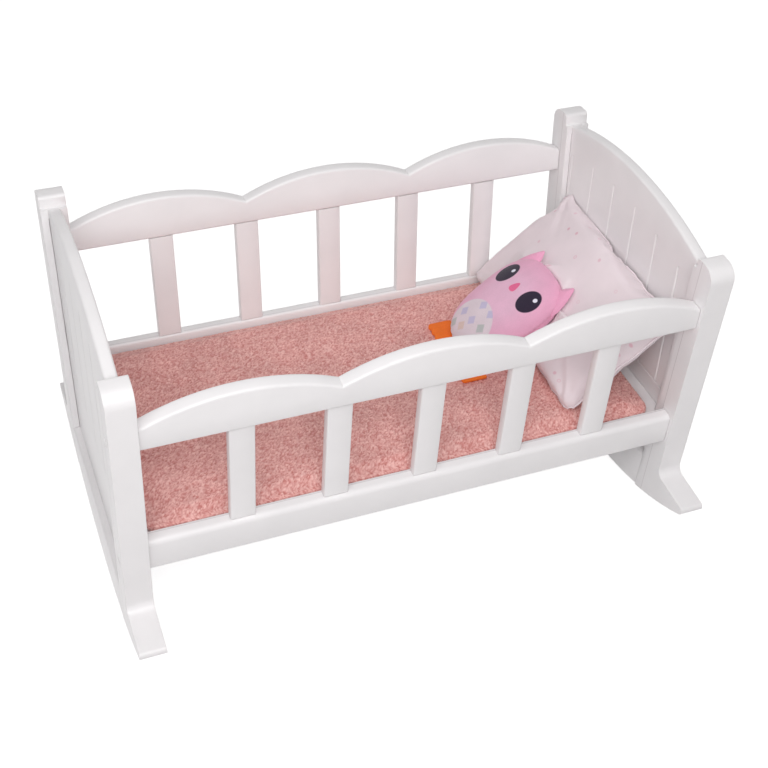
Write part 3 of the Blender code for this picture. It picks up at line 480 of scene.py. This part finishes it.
def curls(points):
    """How high the pile stands at each point: winding curls with narrow gaps between them.
    Blender's noise vectors start from the clock, and the seed makes them the same in each run."""
    noise.seed_set(CURL_SEED)
    found = np.empty(len(points))
    for number, place in enumerate(points / CURL_SPACING):
        place = Vector(place)
        place += noise.noise_vector(place * 0.7) * 0.6
        near, next_near = noise.voronoi(place)[0][:2]
        clump = min(1, (next_near - near) * 1.9)
        winding = 1 - min(1, abs(noise.noise(place * 1.15)) * 2.6)
        fine = noise.noise(place * 3.1)
        found[number] = CURL_CLUMP * clump + CURL_WINDING * winding + CURL_FINE * fine + CURL_BASE
    return found


points, faces = pad_points()
mattress = make_object("fleece_mattress", points, faces, fleece_material())
height = curls(points)
height[points[:, 2] < low.z + UNDERSIDE] = 0.5
set_share(mattress.data, "curl", height)
set_coordinates(mattress.data, points + normals(mattress.data) * ((height - CURL_LEVEL) * CURL_DEPTH)[:, None]
                * (points[:, 2:] > low.z + UNDERSIDE))
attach(mattress, "mattress")
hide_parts("mattress")

# The pillow is two rectangles of thin brushed cotton sewn together and stuffed, so it swells in
# the middle and draws in between its corners. It leans on the end panel, its lower edge on the pad.
PILLOW_MIDDLE = Vector((0.1888, 0.003, 0.168))
PILLOW_TILT = radians(43)
PILLOW_TURN = radians(-3)
PILLOW_CUT = (0.142, 0.232)
PILLOW_HALF = (0.0600, 0.1055)
PILLOW_PULL = {(-1, 1): (-0.006, 0.005), (1, 1): (0.0, 0.001),
               (-1, -1): (0.002, 0.001), (1, -1): (0.002, -0.003)}
PILLOW_CORNER = 0.011
PILLOW_DRAW_IN = (0.035, 0.015)
PILLOW_HALF_THICKNESS = 0.025
PILLOW_PLUMPNESS = 0.74
PILLOW_CELLS = (40, 66)
PILLOW_PRESSURE, PILLOW_FRAMES = 3.0, 24
GATHER_REACH = 0.034
GATHER_DEPTH = 0.0020
GATHER_COUNT = 7
PUCKER_REACH = 0.016
PUCKER_DEPTH = 0.0009
PUCKER_LENGTH = 4.2
NECK_FROM, NECK_WIDTH, NECK_DEPTH = 0.024, 0.012, 0.0095
EAR_FROM, EAR_WIDTH, EAR_RISE = 0.009, 0.006, 0.0045
CREASE_REACH, CREASE_SPACING, CREASE_DEPTH = 0.026, 0.0072, 0.0018
KNOT_FROM, KNOT_HALF, KNOT_RISE = 0.010, 0.0042, 0.0026
RIPPLE_LENGTH, RIPPLE_DEPTH, RIPPLE_REACH = 0.009, 0.0012, 0.012
NEAR_SEAM = 0.0004
MOTIF_SCALE, MOTIF_SHARE = 62.0, 0.36
THREAD_SCALE, NAP_SCALE = 520.0, 700.0
COTTON_PINK = (0.86, 0.755, 0.79, 1.0)
MOTIF_PINK = (0.74, 0.33, 0.44, 1.0)
SEAM_CLEARANCE = 0.0006
EAR_ROOM = 0.0036
DENT_SOFTENING = 6
SEAM_RADIUS = 0.0009


def stuffed(piece, pressure, frames, tension=18.0, volume=None):
    """Presses a sewn piece out from inside, as stuffing does, and gives where its points end up."""
    swell = piece.modifiers.new("stuffing", "CLOTH")
    cloth = swell.settings
    cloth.quality = 6
    cloth.mass = 0.25
    cloth.tension_stiffness = cloth.compression_stiffness = tension
    cloth.shear_stiffness = 6
    cloth.bending_stiffness = 0.3
    cloth.use_pressure = True
    cloth.uniform_pressure_force = pressure
    if volume:
        cloth.use_pressure_volume = True
        cloth.target_volume = volume
    cloth.effector_weights.gravity = 0
    swell.collision_settings.use_collision = False
    swell.point_cache.frame_start = 1
    swell.point_cache.frame_end = frames
    for number in range(1, frames + 1):
        bpy.context.scene.frame_set(number)
    shown = piece.evaluated_get(bpy.context.evaluated_depsgraph_get())
    found = coordinates(shown.data)
    piece.modifiers.remove(swell)
    bpy.context.scene.frame_set(1)
    return found


def sewn_layers(cut, cells):
    """Two layers of cloth that share their rim. It gives points, faces and the rim."""
    nx, ny = cells
    x, y = np.meshgrid(np.linspace(-1, 1, nx + 1), np.linspace(-1, 1, ny + 1), indexing="ij")
    lift = 0.002 * np.sqrt(dome(x, 2) * dome(y, 2))
    face = np.stack([x * cut[0] / 2, y * cut[1] / 2, lift], -1).reshape(-1, 3)
    number = np.arange((nx + 1) * (ny + 1)).reshape(nx + 1, ny + 1)
    inside = number[1:-1, 1:-1].ravel()
    under = number.copy()
    under[1:-1, 1:-1] = (len(face) + np.arange(len(inside))).reshape(nx - 1, ny - 1)
    quads = [np.stack([n[:-1, :-1], n[1:, :-1], n[1:, 1:], n[:-1, 1:]], -1).reshape(-1, 4)
             for n in (number, under)]
    faces = quads[0].tolist() + quads[1][:, ::-1].tolist()
    rim = np.concatenate([number[:-1, 0], number[-1, :-1], number[:0:-1, -1], number[0, :0:-1]])
    points = np.concatenate([face, face[inside] * [1, 1, -1]])
    return points, faces, rim


def cotton_material():
    """Brushed cotton with a plain weave and a sparse print of small dots and rings."""
    made, tree, shader = new_material("printed_cotton", {
        "Roughness": 0.9, "Sheen Weight": 0.25, "Sheen Roughness": 0.6, "Specular IOR Level": 0.2})
    place = node(tree, "Attribute", attribute_name="cut").outputs["Vector"]
    cells = node(tree, "TexVoronoi", {"Vector": place, "Scale": MOTIF_SCALE, "Randomness": 0.8},
                 voronoi_dimensions="2D")
    pick = node(tree, "SeparateColor", {0: cells.outputs["Color"]}).outputs
    reach = cells.outputs["Distance"]
    dot = node(tree, "MapRange", {"Value": reach, "From Min": 0.14, "From Max": 0.07}).outputs[0]
    core = node(tree, "MapRange", {"Value": reach, "From Min": 0.09, "From Max": 0.04}).outputs[0]
    ringed = node(tree, "Math", {0: pick[1], 1: 0.5}, operation="GREATER_THAN").outputs[0]
    hole = node(tree, "Math", {0: core, 1: ringed}, operation="MULTIPLY").outputs[0]
    shape = node(tree, "Math", {0: dot, 1: hole}, operation="SUBTRACT", use_clamp=True).outputs[0]
    chosen = node(tree, "Math", {0: pick[0], 1: 1 - MOTIF_SHARE}, operation="GREATER_THAN").outputs[0]
    faint = node(tree, "MapRange", {"Value": pick[2], "To Min": 0.25, "To Max": 0.65}).outputs[0]
    some = node(tree, "Math", {0: shape, 1: chosen}, operation="MULTIPLY").outputs[0]
    print_mask = node(tree, "Math", {0: some, 1: faint}, operation="MULTIPLY").outputs[0]
    cloud = node(tree, "TexNoise", {"Vector": place, "Scale": 30.0, "Detail": 3.0}).outputs["Fac"]
    tone = node(tree, "MapRange", {"Value": cloud, "From Min": 0.3, "From Max": 0.7,
                                   "To Min": 0.97, "To Max": 1.03}).outputs[0]
    cloth = node(tree, "VectorMath", {0: COTTON_PINK[:3], "Scale": tone}, operation="SCALE").outputs[0]
    colour = node(tree, "Mix", {"Factor": print_mask, "A": cloth, "B": MOTIF_PINK}, data_type="RGBA")
    tree.links.new(colour.outputs["Result"], shader.inputs["Base Color"])
    threads = {"Vector": place, "Scale": THREAD_SCALE, "Distortion": 0.6}
    warp = node(tree, "TexWave", threads, bands_direction="X")
    weft = node(tree, "TexWave", threads, bands_direction="Y")
    weave = node(tree, "Math", {0: warp.outputs["Fac"], 1: weft.outputs["Fac"]}).outputs[0]
    nap = node(tree, "TexNoise", {"Vector": place, "Scale": NAP_SCALE, "Detail": 3.0}).outputs["Fac"]
    raised = node(tree, "Math", {0: nap, 1: 2.0, 2: weave}, operation="MULTIPLY_ADD").outputs[0]
    tree.links.new(node(tree, "Bump", {"Height": raised, "Strength": 0.3, "Distance": 0.0002}).outputs[0],
                   shader.inputs["Normal"])
    return made


def set_places(mesh, name, values):
    """Keeps a place for each point of a mesh, for its material to read."""
    kept = mesh.attributes.new(name, "FLOAT_VECTOR", "POINT")
    kept.data.foreach_set("vector", values.astype(np.float32).ravel())


def moved(points, matrix):
    """Points turned and moved by a matrix."""
    return points @ np.array(matrix.to_3x3()).T + np.array(matrix.translation)


def filled_out(points, cut, cells):
    """Brings a stuffed pillow to its outline, plumper near the seam, with its corners rounded."""
    a, b = cut[:, 0] / PILLOW_CUT[0] * 2, cut[:, 1] / PILLOW_CUT[1] * 2
    row = np.rint((a + 1) / 2 * cells[0]).astype(int)
    column = np.rint((b + 1) / 2 * cells[1]).astype(int)
    reach_x, reach_y = np.zeros(cells[1] + 1), np.zeros(cells[0] + 1)
    np.maximum.at(reach_x, column, np.abs(points[:, 0]))
    np.maximum.at(reach_y, row, np.abs(points[:, 1]))
    x = points[:, 0] / reach_x[column] * PILLOW_HALF[0] * (1 - PILLOW_DRAW_IN[0] * dome(b, 2))
    y = points[:, 1] / reach_y[row] * PILLOW_HALF[1] * (1 - PILLOW_DRAW_IN[1] * dome(a, 2))
    x, y, _, _ = rounded_plan(x, y, PILLOW_HALF, PILLOW_CORNER)
    for (way_a, way_b), (pull_x, pull_y) in PILLOW_PULL.items():
        share = np.clip((1 + way_a * a) / 2, 0, 1) ** 2 * np.clip((1 + way_b * b) / 2, 0, 1) ** 2
        x += share * pull_x
        y += share * pull_y
    from_top, from_back = PILLOW_HALF[0] - x, PILLOW_HALF[1] - y
    y -= NECK_DEPTH * np.exp(-((from_top - NECK_FROM) / NECK_WIDTH) ** 2) * np.clip(b, 0, 1) ** 8
    x += EAR_RISE * np.exp(-((from_back - EAR_FROM) / EAR_WIDTH) ** 2) * np.clip(a, 0, 1) ** 8
    z = points[:, 2] / np.abs(points[:, 2]).max()
    z = np.sign(z) * np.abs(z) ** PILLOW_PLUMPNESS * PILLOW_HALF_THICKNESS
    for way_a in (-1, 1):
        for way_b in (-1, 1):
            beside = np.stack([x - way_a * PILLOW_HALF[0], y - way_b * PILLOW_HALF[1]], 1)
            far = np.linalg.norm(beside, axis=1)
            turn = np.arctan2(beside[:, 1] * way_b, beside[:, 0] * way_a)
            fall = np.clip(1 - far / GATHER_REACH, 0, 1) * np.clip(far / 0.006, 0, 1)
            fold = np.sin(turn * GATHER_COUNT * 2 + 2 * way_a + way_b)
            z += fall * GATHER_DEPTH * fold * (np.abs(z) > NEAR_SEAM)
    side = np.minimum(PILLOW_HALF[0] - np.abs(x), PILLOW_HALF[1] - np.abs(y))
    along = np.where(PILLOW_HALF[0] - np.abs(x) < PILLOW_HALF[1] - np.abs(y), y, x) * 1000
    crease = np.array([noise.noise((step / PUCKER_LENGTH, depth * 40, 3.0 * np.sign(high)))
                       for step, depth, high in zip(along, side, z)])
    z += crease * 2 * PUCKER_DEPTH * np.clip(1 - side / PUCKER_REACH, 0, 1) * np.clip(side / 0.003, 0, 1)
    above = z > NEAR_SEAM
    at_ear = np.exp(-(from_top ** 2 + from_back ** 2) / CREASE_REACH ** 2)
    z += above * at_ear * CREASE_DEPTH * np.sin(from_top * 2 * pi / CREASE_SPACING)
    knot_x, knot_y = x + PILLOW_HALF[0] - KNOT_FROM, y + PILLOW_HALF[1] - KNOT_FROM
    z += above * KNOT_RISE * np.exp(-(knot_x ** 2 + knot_y ** 2) / KNOT_HALF ** 2)
    ripple = np.array([noise.noise((step / RIPPLE_LENGTH / 1000, 9.0, 0.5)) for step in along])
    ripple *= RIPPLE_DEPTH * np.clip(1 - side / RIPPLE_REACH, 0, 1)
    x += ripple * np.sign(x) * (np.abs(a) > np.abs(b))
    y += ripple * np.sign(y) * (np.abs(a) <= np.abs(b))
    return np.stack([x, y, z], 1)


def kept_outside(points, solid, clearance):
    """Moves points that are inside a solid, or too near it, just clear of its surface."""
    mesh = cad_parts[solid].data
    tree = BVHTree.FromPolygons([v.co for v in mesh.vertices], [p.vertices for p in mesh.polygons])
    found = points.copy()
    for number, point in enumerate(points):
        nearest, normal, _, distance = tree.find_nearest(Vector(point))
        if distance < 0.03 and (Vector(point) - nearest).dot(normal) < clearance:
            found[number] = nearest + normal * clearance
    return found


def spread(shift, edges):
    """Lets a shift of some points fade out softly into the points beside them."""
    for _ in range(DENT_SOFTENING):
        around, count = np.zeros_like(shift), np.zeros(len(shift))
        for near, far in (edges.T, edges.T[::-1]):
            np.add.at(around, near, shift[far])
            np.add.at(count, near, 1)
        shift = 0.4 * shift + 0.6 * around / count[:, None]
    return shift


points, faces, rim = sewn_layers(PILLOW_CUT, PILLOW_CELLS)
cut = points * [1, 1, 0]
cotton = cotton_material()
pillow = make_object("cotton_pillow", points, faces, cotton)
points = stuffed(pillow, PILLOW_PRESSURE, PILLOW_FRAMES)
points = filled_out(points, cut, PILLOW_CELLS)
set_places(pillow.data, "cut", cut)
lean = (Matrix.Translation(PILLOW_MIDDLE) @ Matrix.Rotation(PILLOW_TURN, 4, "Z")
        @ Matrix.Rotation(-PILLOW_TILT, 4, "Y"))
bed_top = high.z
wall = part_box("panel_right")[0].x
points = moved(points, lean)
points[:, 2] = np.maximum(points[:, 2], bed_top + SEAM_CLEARANCE)
points[:, 0] = np.minimum(points[:, 0], wall - SEAM_CLEARANCE)
room = {"owl_body": SEAM_CLEARANCE, "owl_ear_back": EAR_ROOM, "owl_ear_front": EAR_ROOM}
pushed = points
for solid, clearance in room.items():
    pushed = kept_outside(pushed, solid, clearance)
edges = np.array([edge.vertices[:] for edge in pillow.data.edges])
points = points + spread(pushed - points, edges)
for solid in room:
    points = kept_outside(points, solid, SEAM_CLEARANCE)
set_coordinates(pillow.data, points)
smoother = pillow.modifiers.new("smoother", "SUBSURF")
smoother.levels = smoother.render_levels = 1
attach(pillow, "pillow")
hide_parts("pillow")


def seam_cord(name, places, radius, material):
    """A thin round welt along a closed row of places."""
    line = bpy.data.curves.new(name, "CURVE")
    line.dimensions = "3D"
    line.bevel_depth = radius
    line.bevel_resolution = 2
    spline = line.splines.new("POLY")
    spline.points.add(len(places) - 1)
    spline.points.foreach_set("co", np.column_stack([places, np.ones(len(places))]).ravel())
    spline.use_cyclic_u = True
    rope = bpy.data.objects.new(name, line)
    bpy.context.scene.collection.objects.link(rope)
    mesh = bpy.data.meshes.new_from_object(rope.evaluated_get(bpy.context.evaluated_depsgraph_get()))
    bpy.data.objects.remove(rope)
    mesh.name = name
    mesh.materials.clear()
    mesh.materials.append(material)
    mesh.shade_smooth()
    made = bpy.data.objects.new(name, mesh)
    bpy.context.scene.collection.objects.link(made)
    return made


welt = points[rim].copy()
welt[:, 2] = np.maximum(welt[:, 2], bed_top + SEAM_RADIUS + SEAM_CLEARANCE)
welt[:, 0] = np.minimum(welt[:, 0], wall - SEAM_RADIUS - SEAM_CLEARANCE)
seam = seam_cord("pillow_seam", welt, SEAM_RADIUS, cotton)
set_places(seam.data, "cut", coordinates(seam.data) * [0, 1, 1])
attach(seam, "pillow")

# The owl is two shaped pieces of short plush sewn round the edge and stuffed flat, with its face
# and belly printed on the front. It lies on the pillow with its feet on the pad.
OWL_MIDDLE = Vector((0.1273, 0.0075, 0.1655))
OWL_TILT = radians(34)
OWL_VOXEL = 0.0027
OWL_SWELL = 0.0012
OWL_SEAM_DEPTH = 0.0011
OWL_SEAM_WIDTH = 0.0020
OWL_PUCKERS, OWL_PUCKER_WIDTH, OWL_PUCKER_DEPTH = 55, 0.006, 0.00028
OWL_PRESSURE, OWL_FRAMES = 4.0, 12
OWL_HALF_LENGTH, OWL_HALF_WIDTH, OWL_SAG = 0.060, 0.030, 0.0035
PLUSH_DEPTH = 0.0003
PLUSH_PINK = (0.86, 0.40, 0.58, 1.0)
# Painted light: the paler pink painted on the middle of the owl's front; the deeper pink towards the seam
# stands as painted shade.
PLUSH_PAINTED_LIGHT = (0.80, 0.49, 0.64, 1.0)
EYE_INK = (0.030, 0.021, 0.042, 1.0)
GLINT = (0.82, 0.80, 0.90, 1.0)
BEAK_PINK = (0.80, 0.15, 0.31, 1.0)
BELLY_WHITE = (0.76, 0.66, 0.72, 1.0)
EYES = {"back": (0.0218, 0.0228), "front": (0.0212, -0.0224)}
EYE_HALF = (0.0123, 0.0097)
GLINT_SHIFT = (0.0052, -0.0030)
GLINT_HALF = (0.0021, 0.0019)
BEAK_MIDDLE, BEAK_HALF = (0.0195, 0.0002), (0.0056, 0.0036)
BELLY_MIDDLE, BELLY_HALF = (-0.0345, 0.0), (0.0265, 0.0270)
# Where the painted light on the owl's front lies.
LIT_MIDDLE, LIT_HALF = (0.004, 0.0), (0.040, 0.034)
DIAMOND_SCALE, DIAMOND_STRENGTH = 62.0, 0.6
DIAMOND_COLOURS = {0.0: (0.62, 0.30, 0.42, 1.0), 0.28: (0.46, 0.44, 0.70, 1.0), 0.52: (0.36, 0.46, 0.42, 1.0),
                   0.76: (0.72, 0.52, 0.40, 1.0)}
owl_place = Matrix.Translation(OWL_MIDDLE) @ Matrix.Rotation(-OWL_TILT, 4, "Y")


def short_plush():
    """Short plush: a colour that changes with the lie of the nap, and the height of the nap."""
    tree, given, out = new_group("short_plush", {"Colour": PLUSH_PINK, "Fibre": 1500.0, "Patch": 0.06},
                                 {"Colour": "Color", "Height": "Float"})
    place = node(tree, "TexCoord").outputs["Object"]
    nap = node(tree, "TexNoise", {"Vector": place, "Scale": given["Fibre"], "Detail": 2.0}).outputs["Fac"]
    cloud = node(tree, "TexNoise", {"Vector": place, "Scale": 70.0, "Detail": 3.0}).outputs["Fac"]
    both = node(tree, "Math", {0: nap, 1: cloud}).outputs[0]
    shift = node(tree, "MapRange", {"Value": both, "From Min": 0.7, "From Max": 1.3,
                                    "To Min": -1.0}).outputs[0]
    tone = node(tree, "Math", {0: shift, 1: given["Patch"], 2: 1.0}, operation="MULTIPLY_ADD").outputs[0]
    toned = node(tree, "VectorMath", {0: given["Colour"], "Scale": tone}, operation="SCALE").outputs[0]
    tree.links.new(toned, out["Colour"])
    tree.links.new(nap, out["Height"])
    return tree


def printed_oval():
    """A printed oval: 1 inside, 0 outside, with a soft edge. Taper narrows it towards the head."""
    tree, given, out = new_group(
        "printed_oval", {"Place": (0.0, 0.0, 0.0), "Middle": (0.0, 0.0, 0.0),
                         "One over half": (1.0, 1.0, 0.0), "Taper": 0.0, "Soft": 0.04}, {"Mask": "Float"})
    away = node(tree, "VectorMath", {0: given["Place"], 1: given["Middle"]}, operation="SUBTRACT").outputs[0]
    scaled = node(tree, "VectorMath", {0: away, 1: given["One over half"]}, operation="MULTIPLY").outputs[0]
    parts = node(tree, "SeparateXYZ", {0: scaled}).outputs
    narrow = node(tree, "Math", {0: parts[0], 1: given["Taper"], 2: 1.0}, operation="MULTIPLY_ADD").outputs[0]
    across = node(tree, "Math", {0: parts[1], 1: narrow}, operation="MULTIPLY").outputs[0]
    both = node(tree, "CombineXYZ", {0: parts[0], 1: across}).outputs[0]
    reach = node(tree, "VectorMath", {0: both}, operation="LENGTH").outputs["Value"]
    over = node(tree, "Math", {0: reach, 1: 1.0}, operation="SUBTRACT").outputs[0]
    share = node(tree, "Math", {0: over, 1: given["Soft"]}, operation="DIVIDE").outputs[0]
    mask = node(tree, "MapRange", {"Value": share, "From Min": 0.5, "From Max": -0.5}).outputs[0]
    tree.links.new(mask, out["Mask"])
    return tree


PLUSH, OVAL = short_plush(), printed_oval()


def finish_plush(tree, shader, coat, colour):
    """Joins the colour and the nap to a plush material's shader."""
    nap = node(tree, "Bump", {"Height": coat["Height"], "Strength": 0.4, "Distance": PLUSH_DEPTH})
    tree.links.new(colour, shader.inputs["Base Color"])
    tree.links.new(nap.outputs[0], shader.inputs["Normal"])


def plush_material(name, colour, fibre=1500.0, sheen=0.3):
    """Plain short plush or felt."""
    made, tree, shader = new_material(name, {
        "Roughness": 0.95, "Sheen Weight": sheen, "Sheen Roughness": 0.5, "Specular IOR Level": 0.15})
    coat = placed(tree, PLUSH, {"Colour": colour, "Fibre": fibre})
    finish_plush(tree, shader, coat, coat["Colour"])
    return made


def owl_material():
    """The owl's front: paler in the middle and deeper pink towards the seam as painted light and shade, with
    the eyes, beak and belly printed on it.
    """
    made, tree, shader = new_material("printed_plush", {
        "Roughness": 0.95, "Sheen Weight": 0.3, "Sheen Roughness": 0.5, "Specular IOR Level": 0.15})
    coat = placed(tree, PLUSH, {"Colour": (1.0, 1.0, 1.0, 1.0)})
    place = node(tree, "Attribute", attribute_name="front").outputs["Vector"]
    rise = node(tree, "SeparateXYZ", {0: place}).outputs[2]
    facing = node(tree, "Math", {0: rise, 1: 0.002}, operation="GREATER_THAN").outputs[0]

    def oval(middle, half, taper=0.0, soft=0.04):
        sizes = {"Middle": (*middle, 0.0), "One over half": (1 / half[0], 1 / half[1], 0.0)}
        group = placed(tree, OVAL, {**sizes, "Taper": taper, "Soft": soft})
        tree.links.new(place, group["Mask"].node.inputs["Place"])
        return node(tree, "Math", {0: group["Mask"], 1: facing}, operation="MULTIPLY").outputs[0]

    def over(colour, mask, ink):
        return node(tree, "Mix", {"Factor": mask, "A": colour, "B": ink}, data_type="RGBA").outputs["Result"]

    # Painted light: paler in the middle, fading to the deeper pink at the seam.
    colour = over(PLUSH_PINK, oval(LIT_MIDDLE, LIT_HALF, 0.0, 0.9), PLUSH_PAINTED_LIGHT)
    cells = node(tree, "TexVoronoi", {"Vector": place, "Scale": DIAMOND_SCALE, "Randomness": 0.55},
                 voronoi_dimensions="2D", distance="MANHATTAN").outputs
    pick = node(tree, "SeparateColor", {0: cells["Color"]}).outputs[0]
    inks = node(tree, "ValToRGB", {"Fac": pick})
    inks.color_ramp.interpolation = "CONSTANT"
    for position, ink in DIAMOND_COLOURS.items():
        stop = inks.color_ramp.elements.new(position) if position else inks.color_ramp.elements[0]
        stop.color = ink
    inks.color_ramp.elements.remove(inks.color_ramp.elements[-1])
    diamond = node(tree, "MapRange", {"Value": cells["Distance"], "From Min": 0.36,
                                      "From Max": 0.27}).outputs[0]
    faint = node(tree, "Math", {0: diamond, 1: DIAMOND_STRENGTH}, operation="MULTIPLY").outputs[0]
    belly = over(BELLY_WHITE, faint, inks.outputs[0])
    colour = over(colour, oval(BELLY_MIDDLE, BELLY_HALF), belly)
    for middle in EYES.values():
        colour = over(colour, oval(middle, EYE_HALF, soft=0.06), EYE_INK)
        glint = (middle[0] + GLINT_SHIFT[0], middle[1] + GLINT_SHIFT[1])
        colour = over(colour, oval(glint, GLINT_HALF, soft=0.25), GLINT)
    colour = over(colour, oval(BEAK_MIDDLE, BEAK_HALF, 0.45, 0.1), BEAK_PINK)
    toned = node(tree, "VectorMath", {0: colour, 1: coat["Colour"]}, operation="MULTIPLY").outputs[0]
    finish_plush(tree, shader, coat, toned)
    return made


def remeshed(name, source, voxel, material, more=((), ())):
    """A copy of one of the frame's solids as an even mesh, with more points and faces grown into it."""
    shape = bmesh.new()
    shape.from_mesh(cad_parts[source].data)
    added = [shape.verts.new(point) for point in more[0]]
    for face in more[1]:
        shape.faces.new([added[number] for number in face])
    mesh = bpy.data.meshes.new(name)
    shape.to_mesh(mesh)
    shape.free()
    made = bpy.data.objects.new(name, mesh)
    bpy.context.scene.collection.objects.link(made)
    change = made.modifiers.new("even", "REMESH")
    change.mode = "VOXEL"
    change.voxel_size = voxel
    mesh = bpy.data.meshes.new_from_object(made.evaluated_get(bpy.context.evaluated_depsgraph_get()))
    made.modifiers.clear()
    made.data = mesh
    mesh.materials.clear()
    mesh.materials.append(material)
    mesh.shade_smooth()
    return made


def refined(piece):
    """Adds one level of subdivision to a piece for good."""
    smoother = piece.modifiers.new("smoother", "SUBSURF")
    smoother.levels = smoother.render_levels = 1
    mesh = bpy.data.meshes.new_from_object(piece.evaluated_get(bpy.context.evaluated_depsgraph_get()))
    piece.modifiers.clear()
    piece.data = mesh
    return mesh


def kept_near(points, before, most):
    """Lets no point move further than a limit from where it was."""
    move = points - before
    far = np.linalg.norm(move, axis=1)[:, None]
    return before + move * np.minimum(1, most / np.maximum(far, 1e-9))


owl = remeshed("owl_plush_body", "owl_body", OWL_VOXEL, owl_material())
before = coordinates(owl.data)
set_coordinates(owl.data, kept_near(stuffed(owl, OWL_PRESSURE, OWL_FRAMES), before, OWL_SWELL))
mesh = refined(owl)
local = moved(coordinates(mesh), owl_place.inverted())
depth = np.exp(-(local[:, 2] / OWL_SEAM_WIDTH) ** 2)
around = np.arctan2(local[:, 1], local[:, 0])
pucker = OWL_PUCKER_DEPTH * np.sin(around * OWL_PUCKERS) * np.exp(-(local[:, 2] / OWL_PUCKER_WIDTH) ** 2)
set_places(mesh, "front", local)
towards_feet = np.clip(-local[:, 0] / OWL_HALF_LENGTH, 0, 1)
sag = OWL_SAG * towards_feet ** 2 * np.clip(-local[:, 1] / OWL_HALF_WIDTH, 0, 1)
inward = normals(mesh) * -(OWL_SEAM_DEPTH * depth + pucker)[:, None]
down = np.outer(-sag, np.array(owl_place.col[0])[:3])
set_coordinates(mesh, coordinates(mesh) + inward + down)
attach(owl, "owl")
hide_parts("owl_body")

# The ears are pointed pockets of the same plush, caught in the seam at the corners of the head.
# The outer side of each runs out along the seam as a narrow fin.
FIN_OUTLINE = ((0.0622, 0.0300), (0.0560, 0.0338), (0.0492, 0.0374), (0.0422, 0.0400), (0.0352, 0.0418),
               (0.0280, 0.0420), (0.0280, 0.0300), (0.0400, 0.0200), (0.0470, 0.0178), (0.0540, 0.0230))
FIN_HALF_THICKNESS = 0.0040
EAR_VOXEL = 0.0013
ear_plush = plush_material("ear_plush", PLUSH_PINK)


def fin(way):
    """A closed lens over the fin's outline, on the owl's back side (way 1) or front side (way -1)."""
    rim = np.array([(x, y * way, 0.0) for x, y in FIN_OUTLINE])
    count, middle = len(rim), rim.mean(axis=0)
    rise = np.array([0.0, 0.0, FIN_HALF_THICKNESS])
    inner = middle + (rim - middle) * 0.6
    points = np.vstack([rim, inner + rise * 0.8, inner - rise * 0.8, middle + rise, middle - rise])
    faces = []
    for number in range(count):
        after = (number + 1) % count
        for ring, tip, way_round in ((count, 3 * count, 1), (2 * count, 3 * count + 1, -1)):
            faces.append([number, after, ring + after, ring + number][::way_round * way])
            faces.append([ring + number, ring + after, tip][::way_round * way])
    return moved(points, owl_place), faces


for face, way in (("back", 1), ("front", -1)):
    ear = remeshed(f"owl_plush_ear_{face}", f"owl_ear_{face}", EAR_VOXEL, ear_plush, fin(way))
    refined(ear)
    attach(ear, "owl")
    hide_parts(f"owl_ear_{face}")

# The feet are small pieces of orange felt, sewn under the owl, with three toes cut in the end.
FELT_ORANGE = (0.93, 0.20, 0.03, 1.0)
TOES, TOE_LENGTH = 3, 0.0015
FOOT_VOXEL = 0.0012
felt = plush_material("orange_felt", FELT_ORANGE, 900.0, 0.1)


def reshaped(mesh, change):
    """Changes a mesh by a function of its points as the owl has them, x towards the head."""
    local = moved(coordinates(mesh), owl_place.inverted())
    set_coordinates(mesh, moved(change(local), owl_place))


def toed(points):
    """Draws the free end of a foot out into rounded toes."""
    low, high = points.min(axis=0), points.max(axis=0)
    across = (points[:, 1] - low[1]) / (high[1] - low[1])
    end = np.clip((high[0] - points[:, 0]) / (high[0] - low[0]) * 2 - 1, 0, 1)
    return points - np.outer(end * np.abs(np.sin(across * pi * TOES)) * TOE_LENGTH, [1, 0, 0])


for face in FACES:
    foot = remeshed(f"owl_felt_foot_{face}", f"owl_foot_{face}", FOOT_VOXEL, felt)
    reshaped(refined(foot), toed)
    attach(foot, "owl")
    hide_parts(f"owl_foot_{face}")
